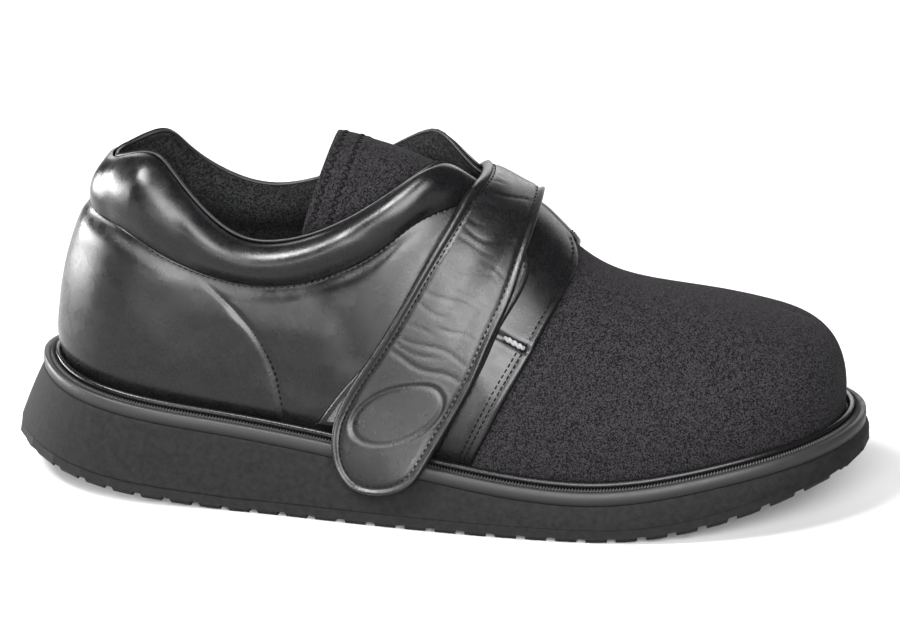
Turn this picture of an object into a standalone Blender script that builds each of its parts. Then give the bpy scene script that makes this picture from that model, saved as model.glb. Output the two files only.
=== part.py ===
"""Right walking shoe with a stretch vamp, leather quarters, a padded collar and one instep strap.

While modelling, X runs from the back of the welt to the toe, Y to the wearer's left, which is the
medial side of this right shoe, and Z up from the floor. At the end the solids are moved so that
the origin is the middle of the shoe's box, on the floor. All sizes are in metres, angles in degrees.
"""

import math

import bpy
import numpy as np
from mathutils import Vector

# Overall sizes of the shoe.
WELT_LENGTH = 0.2927
BALL_WIDTH = 0.108
HEEL_STACK = 0.038
TOE_SPRING = 0.0185
HEEL_FLARE = 0.0095
COLLAR_HEIGHT = 0.121

# Sole: welt strip, midsole and outsole.
WELT_THICKNESS = 0.0050
WELT_WIDTH = 0.0115
WELT_LEDGE = 0.0042
BEAD_WIDTH = 0.0022
BEAD_HEIGHT = 0.0024
OUTSOLE_THICKNESS = 0.0050
SOLE_EDGE_ROUND = 0.0018
LUG_DEPTH = 0.0020
LUG_PITCH = 0.0105
GROOVE_WIDTH = 0.0030
LONG_GROOVE_WIDTH = 0.0034
LONG_GROOVES = (-0.17, 0.13)
GROOVE_BOW = 0.0035
GROOVE_WAVES = 1.1
GROOVE_MOUTH = 1.3
CUTTER_REACH = 0.004
TREAD_SPAN = 0.75
WELT_EDGE_ROUND = 0.0008
BEAD_SHOULDER = 0.75
MIDSOLE_WAIST = 0.45
OUTSOLE_FLARE = 0.90

# Upper: wall, padding and overlays.
WALL = 0.0022
LEATHER = 0.0015
COLLAR_PAD_OUT = 0.0040
COLLAR_PAD_IN = 0.0032
RIM_ROUND = 0.0016
THROAT_EDGE = 0.0008
SEAM_PINCH = 0.0014
FOOT_TUCK = 0.0008
PINCH_SPREAD = 0.05
RIM_END = 0.36
PINCH_END = 0.42
LEATHER_TUCK = 0.10

# Pieces in and on the upper.
INSOLE_THICKNESS = 0.0050
INSOLE_CUP = 0.0030
INSOLE_SHOULDER = 0.012
INSOLE_EASE = 0.0006
TONGUE_THICKNESS = 0.0035
STRAP_THICKNESS = 0.0026
LANDING_THICKNESS = 0.0012

# Gap that touching pieces keep, and the wider one under the strap.
GAP = 0.0003
STRAP_GAP = 0.0013
LANDING_GAP = 0.0006
TAB_STAND_OFF = 0.0100

# Plan of the welt: share of its length from the heel, and share of the ball width, lateral negative.
OUTLINE = (
    (0.000, 0.000), (0.030, -0.215), (0.100, -0.340), (0.220, -0.380), (0.380, -0.438),
    (0.520, -0.497), (0.660, -0.526), (0.800, -0.490), (0.910, -0.375), (0.980, -0.175),
    (1.000, 0.060), (0.965, 0.290), (0.870, 0.445), (0.740, 0.490), (0.600, 0.430),
    (0.460, 0.345), (0.320, 0.322), (0.200, 0.345), (0.100, 0.325), (0.030, 0.212),
)

# Side view of the sole. Columns: share of the welt's length, underside of the welt as a share of
# HEEL_STACK, lift of the tread off the floor as a share of TOE_SPRING, side flare of the tread as
# a share of HEEL_FLARE.
SOLE = (
    (-0.040, 1.03, 0.75, 1.00), (0.000, 1.00, 0.58, 1.00), (0.030, 0.93, 0.46, 0.90),
    (0.080, 0.85, 0.30, 0.72), (0.180, 0.745, 0.10, 0.55), (0.260, 0.680, 0.0, 0.47),
    (0.400, 0.565, 0.0, 0.42), (0.520, 0.430, 0.0, 0.34), (0.620, 0.345, 0.0, 0.27),
    (0.700, 0.335, 0.0, 0.24), (0.780, 0.415, 0.12, 0.21), (0.860, 0.535, 0.41, 0.19),
    (0.930, 0.625, 0.73, 0.17), (1.000, 0.700, 1.00, 0.16),
)

# Top edge of the upper, one row for each rib. Columns: share of the way round each side of the plan
# from the heel; then for the lateral side and again for the medial side, place along as a share of
# WELT_LENGTH, place across as a share of BALL_WIDTH and height as a share of COLLAR_HEIGHT.
TOPLINE = (
    (0.000, 0.092, 0.000, 0.955, 0.092, 0.000, 0.955),
    (0.020, 0.0935, -0.036, 0.956, 0.0935, 0.036, 0.955),
    (0.050, 0.101, -0.084, 0.964, 0.101, 0.084, 0.957),
    (0.100, 0.140, -0.154, 0.998, 0.135, 0.156, 0.980),
    (0.170, 0.182, -0.212, 0.938, 0.172, 0.220, 0.905),
    (0.230, 0.232, -0.258, 0.825, 0.226, 0.264, 0.815),
    (0.290, 0.306, -0.282, 0.782, 0.300, 0.284, 0.800),
    (0.320, 0.364, -0.278, 0.824, 0.352, 0.278, 0.845),
    (0.350, 0.432, -0.248, 0.920, 0.414, 0.246, 0.930),
    (0.370, 0.478, -0.205, 0.996, 0.458, 0.204, 0.994),
    (0.385, 0.504, -0.150, 1.003, 0.486, 0.160, 0.999),
    (0.400, 0.531, -0.090, 0.944, 0.519, 0.098, 0.942),
    (0.420, 0.556, -0.072, 0.908, 0.549, 0.076, 0.906),
    (0.440, 0.574, -0.056, 0.884, 0.570, 0.060, 0.882),
    (0.470, 0.601, 0.010, 0.846, 0.601, 0.010, 0.846),
    (0.495, 0.622, 0.012, 0.803, 0.622, 0.012, 0.803),
    (0.525, 0.648, 0.016, 0.736, 0.648, 0.016, 0.736),
    (0.570, 0.680, 0.022, 0.672, 0.680, 0.022, 0.672),
    (0.615, 0.710, 0.030, 0.636, 0.710, 0.030, 0.636),
    (0.700, 0.774, 0.045, 0.600, 0.774, 0.045, 0.600),
    (0.765, 0.815, 0.056, 0.584, 0.815, 0.056, 0.584),
    (0.850, 0.859, 0.070, 0.564, 0.859, 0.070, 0.564),
    (0.930, 0.890, 0.082, 0.547, 0.890, 0.082, 0.547),
    (1.000, 0.907, 0.088, 0.534, 0.907, 0.088, 0.534),
)

# Cross sections of the last, one row for each rib. Columns: share of the way round; angle that the
# section's arc turns through; its squareness; how far its belly stands out, as a share of
# BALL_WIDTH; how late the rib leans forward as it rises.
SECTIONS = (
    (0.00, 34, 2.0, 0.014, 1.0), (0.10, 40, 2.0, 0.014, 1.0), (0.20, 50, 2.0, 0.010, 1.0),
    (0.30, 58, 2.0, 0.006, 1.1), (0.36, 68, 2.0, 0.004, 1.15), (0.385, 78, 2.0, 0.004, 1.15),
    (0.40, 86, 2.0, 0.004, 1.15), (0.42, 88, 2.0, 0.004, 1.2), (0.44, 89, 2.0, 0.004, 1.2),
    (0.47, 90, 2.0, 0.004, 1.2), (0.495, 90, 2.0, 0.004, 1.2),
    (0.56, 90, 2.1, 0.006, 1.15), (0.70, 90, 2.3, 0.012, 1.1), (0.85, 90, 2.4, 0.010, 1.0),
    (1.00, 90, 2.5, 0.008, 1.0),
)

# Front edge of the facing: share of the rib's length, and share of the way round.
FACING = (
    (0.00, 0.520), (0.16, 0.5275), (0.31, 0.5325), (0.44, 0.5370), (0.57, 0.5390), (0.69, 0.5410),
    (0.80, 0.5405), (0.88, 0.5375), (0.94, 0.5290), (1.00, 0.5130),
)
FACING_FOOT = 0.520
FACING_STEP_RUN = 0.003
FACING_FADE = 0.12
THROAT_END = 0.470
RIDGE_START = 0.38

# Collar: height of its seam up each rib, and how full its padding is, by share of the way round.
COLLAR_SEAM = (
    (0.00, 0.76), (0.04, 0.75), (0.09, 0.69), (0.14, 0.66), (0.18, 0.67), (0.22, 0.71), (0.26, 0.75),
    (0.30, 0.75), (0.34, 0.72), (0.365, 0.71), (0.385, 0.77), (0.40, 0.86), (0.42, 0.90), (1.00, 0.90),
)
COLLAR_PAD = (
    (0.00, 0.15), (0.05, 0.50), (0.12, 1.0), (0.30, 1.0), (0.36, 0.85), (0.38, 0.55), (0.40, 0.12),
    (0.42, 0.0), (1.00, 0.0),
)

# Tongue, one row for each arch from its hidden front to its free end. Columns: crown as a share of
# WELT_LENGTH; crown height as a share of COLLAR_HEIGHT; half width as a share of BALL_WIDTH; drop
# of the side edges as a share of COLLAR_HEIGHT; how far back the side edges sit, as a share of
# WELT_LENGTH.
TONGUE = (
    (0.665, 0.660, 0.145, 0.120, 0.016),
    (0.610, 0.772, 0.145, 0.145, 0.020),
    (0.550, 0.872, 0.162, 0.180, 0.026),
    (0.485, 0.955, 0.175, 0.210, 0.030),
    (0.421, 1.012, 0.194, 0.238, 0.032),
    (0.360, 1.045, 0.205, 0.265, 0.032),
)

# Strap, one row for each crossing from the tab's tip over the instep to the medial root. Columns:
# side (-1 lateral, 1 medial); then for its rear edge and again for its front edge, share of the way
# round and share of the rib's length, or below the rib's foot as a share of COLLAR_HEIGHT if negative.
STRAP = (
    (-1, 0.400, -0.075, 0.429, -0.106), (-1, 0.391, -0.039, 0.446, -0.100),
    (-1, 0.387, 0.016, 0.467, -0.064), (-1, 0.381, 0.085, 0.483, -0.010), (-1, 0.385, 0.200, 0.491, 0.085),
    (-1, 0.393, 0.320, 0.499, 0.215), (-1, 0.397, 0.430, 0.502, 0.315), (-1, 0.399, 0.570, 0.500, 0.450),
    (-1, 0.400, 0.720, 0.499, 0.600), (-1, 0.400, 0.850, 0.489, 0.755), (-1, 0.399, 0.930, 0.481, 0.885),
    (-1, 0.401, 1.000, 0.471, 1.000), (1, 0.403, 0.960, 0.475, 0.940), (1, 0.403, 0.870, 0.485, 0.815),
    (1, 0.400, 0.760, 0.492, 0.680), (1, 0.400, 0.620, 0.497, 0.530), (1, 0.397, 0.480, 0.500, 0.390),
    (1, 0.392, 0.340, 0.499, 0.260), (1, 0.387, 0.210, 0.495, 0.150), (1, 0.383, 0.080, 0.490, 0.060),
)

# How far the strap's underside stands off the quarter on the lateral side: share of the rib's
# length, or below the foot as a share of COLLAR_HEIGHT if negative, and the share of TAB_STAND_OFF.
STRAP_STAND_OFF = (
    (-0.110, 1.00), (-0.040, 0.96), (0.000, 0.88), (0.050, 0.66), (0.100, 0.46), (0.160, 0.30),
    (0.220, 0.25), (0.300, 0.23), (0.600, 0.23), (0.780, 0.22), (0.880, 0.15), (1.000, 0.13),
)

# Landing patch of the strap on the lateral quarter, one row for each crossing. Columns: share of
# the rib's length, and the shares of the way round of its rear and front edges.
LANDING = (
    (0.035, 0.360, 0.489), (0.090, 0.366, 0.4925), (0.180, 0.3775, 0.4965), (0.340, 0.397, 0.5025),
    (0.490, 0.402, 0.5025), (0.620, 0.405, 0.505), (0.710, 0.407, 0.503), (0.750, 0.412, 0.495),
    (0.775, 0.430, 0.475),
)

# Grid of the upper: ribs to the throat's end, from there to the facing's edge, and ahead of it; rows
# below and above the collar's seam.
SOLE_SHARES = 33
RIBS_TO_THROAT = 22
RIBS_TO_FACING = 4
RIBS_AHEAD = 14
ROWS_BELOW_SEAM = 6
ROWS_ABOVE_SEAM = 4
STRAP_COLUMNS = 6
STRAP_SPLITS = 2
LANDING_ROWS = 14
LANDING_COLUMNS = 6
TONGUE_ARCHES = 11
TONGUE_COLUMNS = 13
GROOVE_STATIONS = 6
LONG_GROOVE_STATIONS = 25

# Fineness of the curves that the grid is read from, and how sharp an edge stays sharp, in degrees.
OUTLINE_SAMPLES = 2401
RIB_SAMPLES = 49
SHARE_STEP = 0.006
ROW_STEP = 0.04
SHARP_ANGLE = 40

# Base colour and roughness of each piece.
FINISH = {
    "outsole": ((0.018, 0.018, 0.019), 0.80),
    "midsole": ((0.022, 0.022, 0.023), 0.85),
    "welt": ((0.055, 0.055, 0.058), 0.45),
    "insole": ((0.030, 0.030, 0.032), 0.90),
    "upper": ((0.030, 0.030, 0.032), 0.50),
    "tongue": ((0.030, 0.028, 0.030), 0.95),
    "landing_patch": ((0.025, 0.025, 0.027), 0.50),
    "strap": ((0.030, 0.030, 0.032), 0.45),
    "cutter": ((0.500, 0.500, 0.500), 0.50),
}


def spline(knots, values, at):
    """Natural cubic spline through the values at the knots, read at the places in at."""
    knots, values, at = (np.asarray(part, float) for part in (knots, values, at))
    step = np.diff(knots)
    count = len(knots)
    matrix, right = np.eye(count), np.zeros(count)
    for i in range(1, count - 1):
        matrix[i, i - 1 : i + 2] = step[i - 1], 2 * (step[i - 1] + step[i]), step[i]
        right[i] = 6 * ((values[i + 1] - values[i]) / step[i] - (values[i] - values[i - 1]) / step[i - 1])
    bend = np.linalg.solve(matrix, right)
    i = np.clip(np.searchsorted(knots, at) - 1, 0, count - 2)
    a, b = (knots[i + 1] - at) / step[i], (at - knots[i]) / step[i]
    cubic = ((a**3 - a) * bend[i] + (b**3 - b) * bend[i + 1]) * step[i] ** 2 / 6
    return a * values[i] + b * values[i + 1] + cubic


def column(table, number, at):
    """One column of a table of stations, read smoothly at the stations in at."""
    rows = np.array(table)
    return spline(rows[:, 0], rows[:, number], at)


def smooth_step(value, low, high):
    """0 below low, 1 above high, and a smooth rise between them."""
    t = np.clip((np.asarray(value, float) - low) / (high - low), 0, 1)
    return t * t * (3 - 2 * t)


def dense_outline():
    """The welt's plan as a fine closed loop, from the heel round the lateral side."""
    points = np.array(OUTLINE) * (WELT_LENGTH, BALL_WIDTH)
    wrapped = np.vstack([points[-4:], points, points[:5]])
    chord = np.r_[0, np.cumsum(np.linalg.norm(np.diff(wrapped, axis=0), axis=1))]
    start, end = chord[4], chord[4 + len(points)]
    at = np.linspace(start, end, OUTLINE_SAMPLES)
    return np.c_[spline(chord, wrapped[:, 0], at), spline(chord, wrapped[:, 1], at)]


def half_outline(shares, medial):
    """Points and outward normals of one side of the welt's plan at shares of its length."""
    loop = dense_outline()
    toe = int(np.argmax(loop[:, 0]))
    side = loop[toe:][::-1] if medial else loop[: toe + 1]
    run = np.r_[0, np.cumsum(np.linalg.norm(np.diff(side, axis=0), axis=1))]
    at = np.asarray(shares) * run[-1]
    points = np.c_[np.interp(at, run, side[:, 0]), np.interp(at, run, side[:, 1])]
    tangent = np.gradient(side, run, axis=0)
    tangent = np.c_[np.interp(at, run, tangent[:, 0]), np.interp(at, run, tangent[:, 1])]
    turn = -1 if medial else 1
    normals = np.c_[tangent[:, 1], -tangent[:, 0]] * turn
    normals /= np.linalg.norm(normals, axis=1, keepdims=True)
    ends = (np.asarray(shares) <= 0) | (np.asarray(shares) >= 1)
    normals[ends] = np.c_[np.where(np.asarray(shares) <= 0, -1, 1), np.zeros(len(shares))][ends]
    return points, normals


def ring(shares):
    """Closed loop of plan points and normals: lateral side to the toe, then back along the medial."""
    near, near_normals = half_outline(shares, medial=False)
    far, far_normals = half_outline(shares, medial=True)
    return np.vstack([near, far[-2:0:-1]]), np.vstack([near_normals, far_normals[-2:0:-1]])


def welt_underside(x):
    return column(SOLE, 1, x / WELT_LENGTH) * HEEL_STACK


def tread_lift(x):
    return np.maximum(column(SOLE, 2, x / WELT_LENGTH), 0) * TOE_SPRING


def side_flare(x):
    return column(SOLE, 3, x / WELT_LENGTH) * HEEL_FLARE


def feather_inset():
    """How far the foot of the upper stands inside the welt's edge."""
    return WELT_LEDGE + BEAD_WIDTH + GAP + FOOT_TUCK


def rib_tops(shares, medial):
    """Tops of the ribs on one side, on the collar's rim, the throat's edge or the vamp's ridge."""
    sizes = (WELT_LENGTH, BALL_WIDTH, COLLAR_HEIGHT)
    sides = [
        np.stack([column(TOPLINE, first + k, shares) * sizes[k] for k in range(3)], axis=-1)
        for first in (1, 4)
    ]
    closed = (np.asarray(shares) >= THROAT_END - 1e-9)[:, None]
    return np.where(closed, (sides[0] + sides[1]) / 2, sides[1 if medial else 0])


def last_points(shares, rows, medial):
    """Points of the last at shares of the way round and shares of each rib's length."""
    shape = np.shape(shares)
    shares, rows = np.ravel(shares), np.ravel(rows)
    plan, outward = half_outline(shares, medial)
    foot = plan - outward * feather_inset()
    foot_height = welt_underside(foot[:, 0]) + WELT_THICKNESS + 2 * GAP
    top = rib_tops(shares, medial)
    behind = rib_tops(np.clip(shares - SHARE_STEP, 0, 1), medial)
    ahead = rib_tops(np.clip(shares + SHARE_STEP, 0, 1), medial)
    ridge_slope = (ahead[:, 2] - behind[:, 2]) / np.maximum(ahead[:, 0] - behind[:, 0], 1e-5)
    ridge_slope = ridge_slope * smooth_step(shares, RIDGE_START, THROAT_END)
    angle, square, belly, lean = (column(SECTIONS, k, shares) for k in (1, 2, 3, 4))
    turn = np.radians(np.clip(angle, 20, 90)) * np.linspace(0, 1, RIB_SAMPLES)[:, None]
    power = 2 / square
    across = (1 - np.cos(turn).clip(0) ** power) / (1 - np.cos(turn[-1]).clip(0) ** power)
    rise = np.sin(turn) ** power / np.sin(turn[-1]) ** power
    reach = top[:, :2] - foot
    inward = np.sum(reach * outward, axis=1)
    along = reach - outward * inward[:, None]
    swell = belly * BALL_WIDTH * np.sin(np.pi * rise**0.8)
    path = foot + outward * (across * inward + swell)[..., None] + along * (rise**lean)[..., None]
    ease = ridge_slope * outward[:, 0] * inward * (across - 1) * across**2
    height = foot_height + rise * (top[:, 2] - foot_height) + ease
    points = np.concatenate([path, height[..., None]], axis=-1)
    run = np.linalg.norm(np.diff(points, axis=0), axis=2)
    run = np.vstack([np.zeros(len(shares)), np.cumsum(run, axis=0)])
    at = np.clip(rows, 0, 1) * run[-1]
    low = np.clip((run <= at).sum(axis=0) - 1, 0, len(run) - 2)
    each = np.arange(len(shares))
    part = (at - run[low, each]) / (run[low + 1, each] - run[low, each])
    found = points[low, each] + (points[low + 1, each] - points[low, each]) * part[:, None]
    found[:, 2] += np.minimum(rows, 0) * COLLAR_HEIGHT
    return found.reshape(*shape, 3)


def last_normals(shares, rows, medial):
    """Outward normals of the last at the same places; below the feet they lie flat."""
    shares, rows = np.asarray(shares, float), np.asarray(rows, float)
    near, far = np.clip(shares - SHARE_STEP, 0, 1), np.clip(shares + SHARE_STEP, 0, 1)
    held = np.clip(rows, 0, 1)
    low = np.clip(held - ROW_STEP / 2, 0, 1 - ROW_STEP)
    high = low + ROW_STEP
    around = last_points(far, held, medial) - last_points(near, held, medial)
    upward = last_points(shares, high, medial) - last_points(shares, low, medial)
    normals = np.cross(around, upward) * (-1 if medial else 1)
    below = rows < ROW_STEP
    normals[below, 2] = 0
    return normals / np.linalg.norm(normals, axis=-1, keepdims=True)


def collar_bulge(shares, rows):
    """Share of the collar padding: 0 at the seam and the rim, 1 between."""
    seam = column(COLLAR_SEAM, 1, shares)
    up = np.clip((rows - seam) / (1 - seam), 0, 1)
    amount = np.clip(column(COLLAR_PAD, 1, shares), 0, 1)
    return np.sin(np.pi * up**1.25) ** 0.9 * amount


def outer_offset(shares, rows, leather):
    """How far the upper's outer face stands off the last; leather is 1 on the quarters, 0 ahead."""
    seam = column(COLLAR_SEAM, 1, shares)
    at_collar = 1 - smooth_step(shares, RIM_END, PINCH_END)
    pinch = SEAM_PINCH * np.exp(-(((rows - seam) / PINCH_SPREAD) ** 2)) * at_collar
    tuck = smooth_step(rows, 0, LEATHER_TUCK)
    return leather * LEATHER * tuck + COLLAR_PAD_OUT * collar_bulge(shares, rows) - pinch


def outer_points(shares, rows, medial, stand_off=0.0):
    """Points on, or standing off, the outer face of the quarters."""
    lift = outer_offset(shares, rows, 1.0) + stand_off
    return last_points(shares, rows, medial) + last_normals(shares, rows, medial) * lift[..., None]


def grid_shares():
    """Shares round each side where the upper has ribs, with a close pair at the facing's edge."""
    open_part = np.linspace(0, THROAT_END, RIBS_TO_THROAT + 1)
    facing = np.linspace(THROAT_END, FACING_FOOT, RIBS_TO_FACING + 1)[1:]
    ahead = np.linspace(FACING_FOOT + FACING_STEP_RUN, 1, RIBS_AHEAD + 1)
    return np.r_[open_part, facing, ahead]


def upper_grid():
    """The upper's grid on one side: shares round and rows up, both ribs by rows."""
    base = grid_shares()
    seam = column(COLLAR_SEAM, 1, base)
    low = np.linspace(0, 1, ROWS_BELOW_SEAM + 1)[:-1]
    high = np.linspace(0, 1, ROWS_ABOVE_SEAM + 1)
    rows = np.array([np.r_[low * s, s + high * (1 - s)] for s in seam])
    ahead_fade = 1 - smooth_step(base, FACING_FOOT, FACING_FOOT + FACING_FADE)
    behind_fade = np.clip((base - THROAT_END) / (FACING_FOOT - THROAT_END), 0, 1)
    lean = column(FACING, 1, rows) - FACING_FOOT
    return base, base[:, None] + np.minimum(ahead_fade, behind_fade)[:, None] * lean, rows


def make_object(name, points, faces, finish=None):
    """One closed mesh object with its own material, shaded smooth with sharp edges kept."""
    mesh = bpy.data.meshes.new(name)
    mesh.from_pydata([tuple(p) for p in points], [], [tuple(f) for f in faces])
    mesh.validate()
    mesh.update()
    mesh.shade_smooth()
    mesh.set_sharp_from_angle(angle=math.radians(SHARP_ANGLE))
    colour, roughness = FINISH[finish or name]
    material = bpy.data.materials.new(name)
    material.use_nodes = True
    shader = material.node_tree.nodes["Principled BSDF"]
    shader.inputs["Base Color"].default_value = (*colour, 1.0)
    shader.inputs["Roughness"].default_value = roughness
    shader.inputs["Metallic"].default_value = 0.0
    mesh.materials.append(material)
    made = bpy.data.objects.new(name, mesh)
    bpy.context.scene.collection.objects.link(made)
    return made


def loop_stack(loops, closed):
    """Faces between loops of equal length; closed joins the last loop to the first, else caps."""
    count = len(loops[0])
    points = np.vstack(loops)
    faces = []
    pairs = len(loops) if closed else len(loops) - 1
    for level in range(pairs):
        low, high = level * count, (level + 1) % len(loops) * count
        for i in range(count):
            j = (i + 1) % count
            faces.append((low + i, low + j, high + j, high + i))
    if not closed:
        top = (len(loops) - 1) * count
        faces += strip_cap(0, count, up=False) + strip_cap(top, count, up=True)
    return points, faces


def strip_cap(first, count, up):
    """Closes a ring loop by joining each lateral point to the medial point of the same share."""
    half = count // 2
    faces = []
    for i in range(half):
        left, right = (count - i) % count, count - i - 1
        face = [first + p for p in dict.fromkeys((i, i + 1, right, left))]
        faces.append(face if up else face[::-1])
    return faces


def sole_loop(shares, offset, height):
    """A loop of the plan moved outwards by offset, at the height that a function of x gives."""
    plan, outward = ring(shares)
    moved = plan + outward * np.reshape(offset, (-1, 1))
    return np.c_[moved, height(moved[:, 0])]


def build_welt(shares):
    """The strip between upper and midsole, with its flat ledge and raised bead."""
    top = WELT_THICKNESS
    bead = WELT_LEDGE + BEAD_WIDTH
    profile = (
        (0.0, 0.0), (0.0, top - WELT_EDGE_ROUND), (-WELT_EDGE_ROUND, top), (-WELT_LEDGE, top),
        (-WELT_LEDGE - GAP, top + BEAD_HEIGHT * BEAD_SHOULDER),
        (-WELT_LEDGE - BEAD_WIDTH / 2, top + BEAD_HEIGHT),
        (-bead, top + BEAD_HEIGHT * BEAD_SHOULDER), (-bead, top), (-WELT_WIDTH, top), (-WELT_WIDTH, 0.0),
    )
    loops = [
        sole_loop(shares, offset, lambda x, rise=rise: welt_underside(x) + GAP + rise)
        for offset, rise in profile
    ]
    points, faces = loop_stack(loops, closed=True)
    return make_object("welt", points, faces)


def outsole_top(x):
    """Joint between midsole and outsole."""
    return tread_lift(x) + OUTSOLE_THICKNESS


def build_midsole(shares):
    """The wedge from the outsole to the welt, flared outwards towards the floor."""
    plan, _ = ring(shares)
    flare = side_flare(plan[:, 0])
    loops = [
        sole_loop(shares, flare * part, height)
        for part, height in (
            (OUTSOLE_FLARE, lambda x: outsole_top(x) + GAP),
            (MIDSOLE_WAIST, lambda x: (outsole_top(x) + welt_underside(x)) / 2),
            (0.0, welt_underside),
        )
    ]
    points, faces = loop_stack(loops, closed=False)
    return make_object("midsole", points, faces)


def build_outsole(shares):
    """The tread layer: flared sides, a rounded lower edge and grooves that leave lugs."""
    plan, _ = ring(shares)
    flare = side_flare(plan[:, 0])
    loops = [
        sole_loop(shares, flare - SOLE_EDGE_ROUND, tread_lift),
        sole_loop(shares, flare, lambda x: tread_lift(x) + SOLE_EDGE_ROUND),
        sole_loop(shares, flare * OUTSOLE_FLARE, outsole_top),
    ]
    points, faces = loop_stack(loops, closed=False)
    outsole = make_object("outsole", points, faces)
    for name, cutter in (("cross_grooves", cross_grooves()), ("long_grooves", long_grooves())):
        cut = make_object(name, *cutter, finish="cutter")
        cut.hide_render = True
        cut.display_type = "WIRE"
        boolean = outsole.modifiers.new(name, "BOOLEAN")
        boolean.operation = "DIFFERENCE"
        boolean.solver = "EXACT"
        boolean.object = cut
    return outsole


def swept_groove(path, half_width, across):
    """A groove cutter: a trapezium section swept along path, its roof in the outsole."""
    points, faces = [], []
    for centre, side in zip(path, across):
        for width, rise in ((GROOVE_MOUTH, -CUTTER_REACH), (1.0, LUG_DEPTH)):
            for sign in (-1, 1):
                at = centre + side * sign * half_width * width
                points.append(np.r_[at, tread_lift(at[:1]) + rise])
    for i in range(len(path) - 1):
        a, b = 4 * i, 4 * (i + 1)
        faces += [
            (a, b, b + 1, a + 1), (a + 1, b + 1, b + 3, a + 3),
            (a + 3, b + 3, b + 2, a + 2), (a + 2, b + 2, b, a),
        ]
    end = 4 * (len(path) - 1)
    faces += [(0, 1, 3, 2), (end, end + 2, end + 3, end + 1)]
    return points, faces


def joined(parts):
    """Several point and face lists as one."""
    points, faces = [], []
    for part_points, part_faces in parts:
        start = len(points)
        points += list(part_points)
        faces += [tuple(start + i for i in face) for face in part_faces]
    return points, faces


def cross_grooves():
    """Bowed grooves from side to side, a pitch apart along the whole tread."""
    count = int((WELT_LENGTH + HEEL_FLARE) / LUG_PITCH)
    span = np.linspace(-TREAD_SPAN, TREAD_SPAN, GROOVE_STATIONS) * BALL_WIDTH
    grooves = []
    for i in range(count):
        middle = (i + 0.5) * LUG_PITCH - HEEL_FLARE / 2
        bow = GROOVE_BOW * np.cos(np.linspace(-1, 1, len(span)) * GROOVE_WAVES * 2 * np.pi)
        path = np.c_[middle + bow, span]
        across = np.tile((1.0, 0.0), (len(span), 1))
        grooves.append(swept_groove(path, GROOVE_WIDTH / 2, across))
    return joined(grooves)


def long_grooves():
    """Straight grooves along the tread that split the cross bars into blocks."""
    reach = 2 * HEEL_FLARE
    along = np.linspace(-reach, WELT_LENGTH + reach, LONG_GROOVE_STATIONS)
    grooves = []
    for share in LONG_GROOVES:
        path = np.c_[along, np.full(len(along), share * BALL_WIDTH)]
        across = np.tile((0.0, -1.0), (len(along), 1))
        grooves.append(swept_groove(path, LONG_GROOVE_WIDTH / 2, across))
    return joined(grooves)


def build_insole(shares):
    """The footbed inside the upper, its rim raised round the foot."""
    inside_wall = feather_inset() + WALL + 2 * GAP + INSOLE_EASE
    rim = -max(inside_wall, WELT_WIDTH + GAP)
    loops = [
        sole_loop(shares, offset, lambda x, rise=rise: welt_underside(x) + GAP + rise)
        for offset, rise in (
            (rim, 0.0),
            (rim, INSOLE_THICKNESS + INSOLE_CUP),
            (-feather_inset() - INSOLE_SHOULDER, INSOLE_THICKNESS),
        )
    ]
    points, faces = loop_stack(loops, closed=False)
    return make_object("insole", points, faces)


def build_upper():
    """The hollow upper: vamp and quarters in one wall, open at the collar, throat and underneath."""
    base, shares, rows = upper_grid()
    leather = (base <= FACING_FOOT + 1e-9)[:, None] * np.ones_like(rows)
    foot_side = 1 - smooth_step(rows, 0, LEATHER_TUCK / 2)
    layers = {"outer": [], "inner": []}
    for medial in (False, True):
        surface = last_points(shares, rows, medial)
        normals = last_normals(shares, rows, medial)
        closed = base >= THROAT_END - 1e-9
        normals[closed, -1, 1] = 0
        normals /= np.linalg.norm(normals, axis=-1, keepdims=True)
        outer = surface + normals * outer_offset(shares, rows, leather)[..., None]
        thick = WALL + COLLAR_PAD_IN * collar_bulge(shares, rows)
        inner = surface - normals * thick[..., None]
        outer[..., 2] += (surface[..., 2] - outer[..., 2]) * foot_side
        inner[..., 2] += (surface[..., 2] - inner[..., 2]) * foot_side
        layers["outer"].append(outer)
        layers["inner"].append(inner)
    outer, inner = (np.concatenate([near, far[-2:0:-1]]) for near, far in layers.values())
    rise = np.where(base < RIM_END, RIM_ROUND, THROAT_EDGE)
    crest = (outer[:, -1] + inner[:, -1]) / 2
    crest[:, 2] += np.concatenate([rise, rise[-2:0:-1]])
    count, depth = outer.shape[:2]
    top = depth - 1
    grids = {"outer": outer, "inner": inner, "crest": np.repeat(crest[:, None], depth, axis=1)}
    number, points = {}, []

    def corner(layer, rib, row):
        """Number of a grid point; ahead of the throat both sides share the ridge's points."""
        rib %= count
        mirror = (count - rib) % count
        if row == top and rib > count // 2 and mirror >= RIBS_TO_THROAT:
            rib = mirror
        key = (layer, rib, row)
        if key not in number:
            number[key] = len(points)
            points.append(grids[layer][rib, row])
        return number[key]

    faces = []
    for rib in range(count):
        after = rib + 1
        for row in range(top):
            quad = ((rib, row), (after, row), (after, row + 1), (rib, row + 1))
            faces.append([corner("outer", *place) for place in quad])
            faces.append([corner("inner", *place) for place in quad][::-1])
        faces.append([corner(layer, r, 0) for layer, r in
                      (("inner", rib), ("inner", after), ("outer", after), ("outer", rib))])
        if min(rib, count - after) < RIBS_TO_THROAT:
            faces.append([corner(layer, r, top) for layer, r in
                          (("outer", rib), ("outer", after), ("crest", after), ("crest", rib))])
            faces.append([corner(layer, r, top) for layer, r in
                          (("crest", rib), ("crest", after), ("inner", after), ("inner", rib))])
    return make_object("upper", points, faces)


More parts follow.
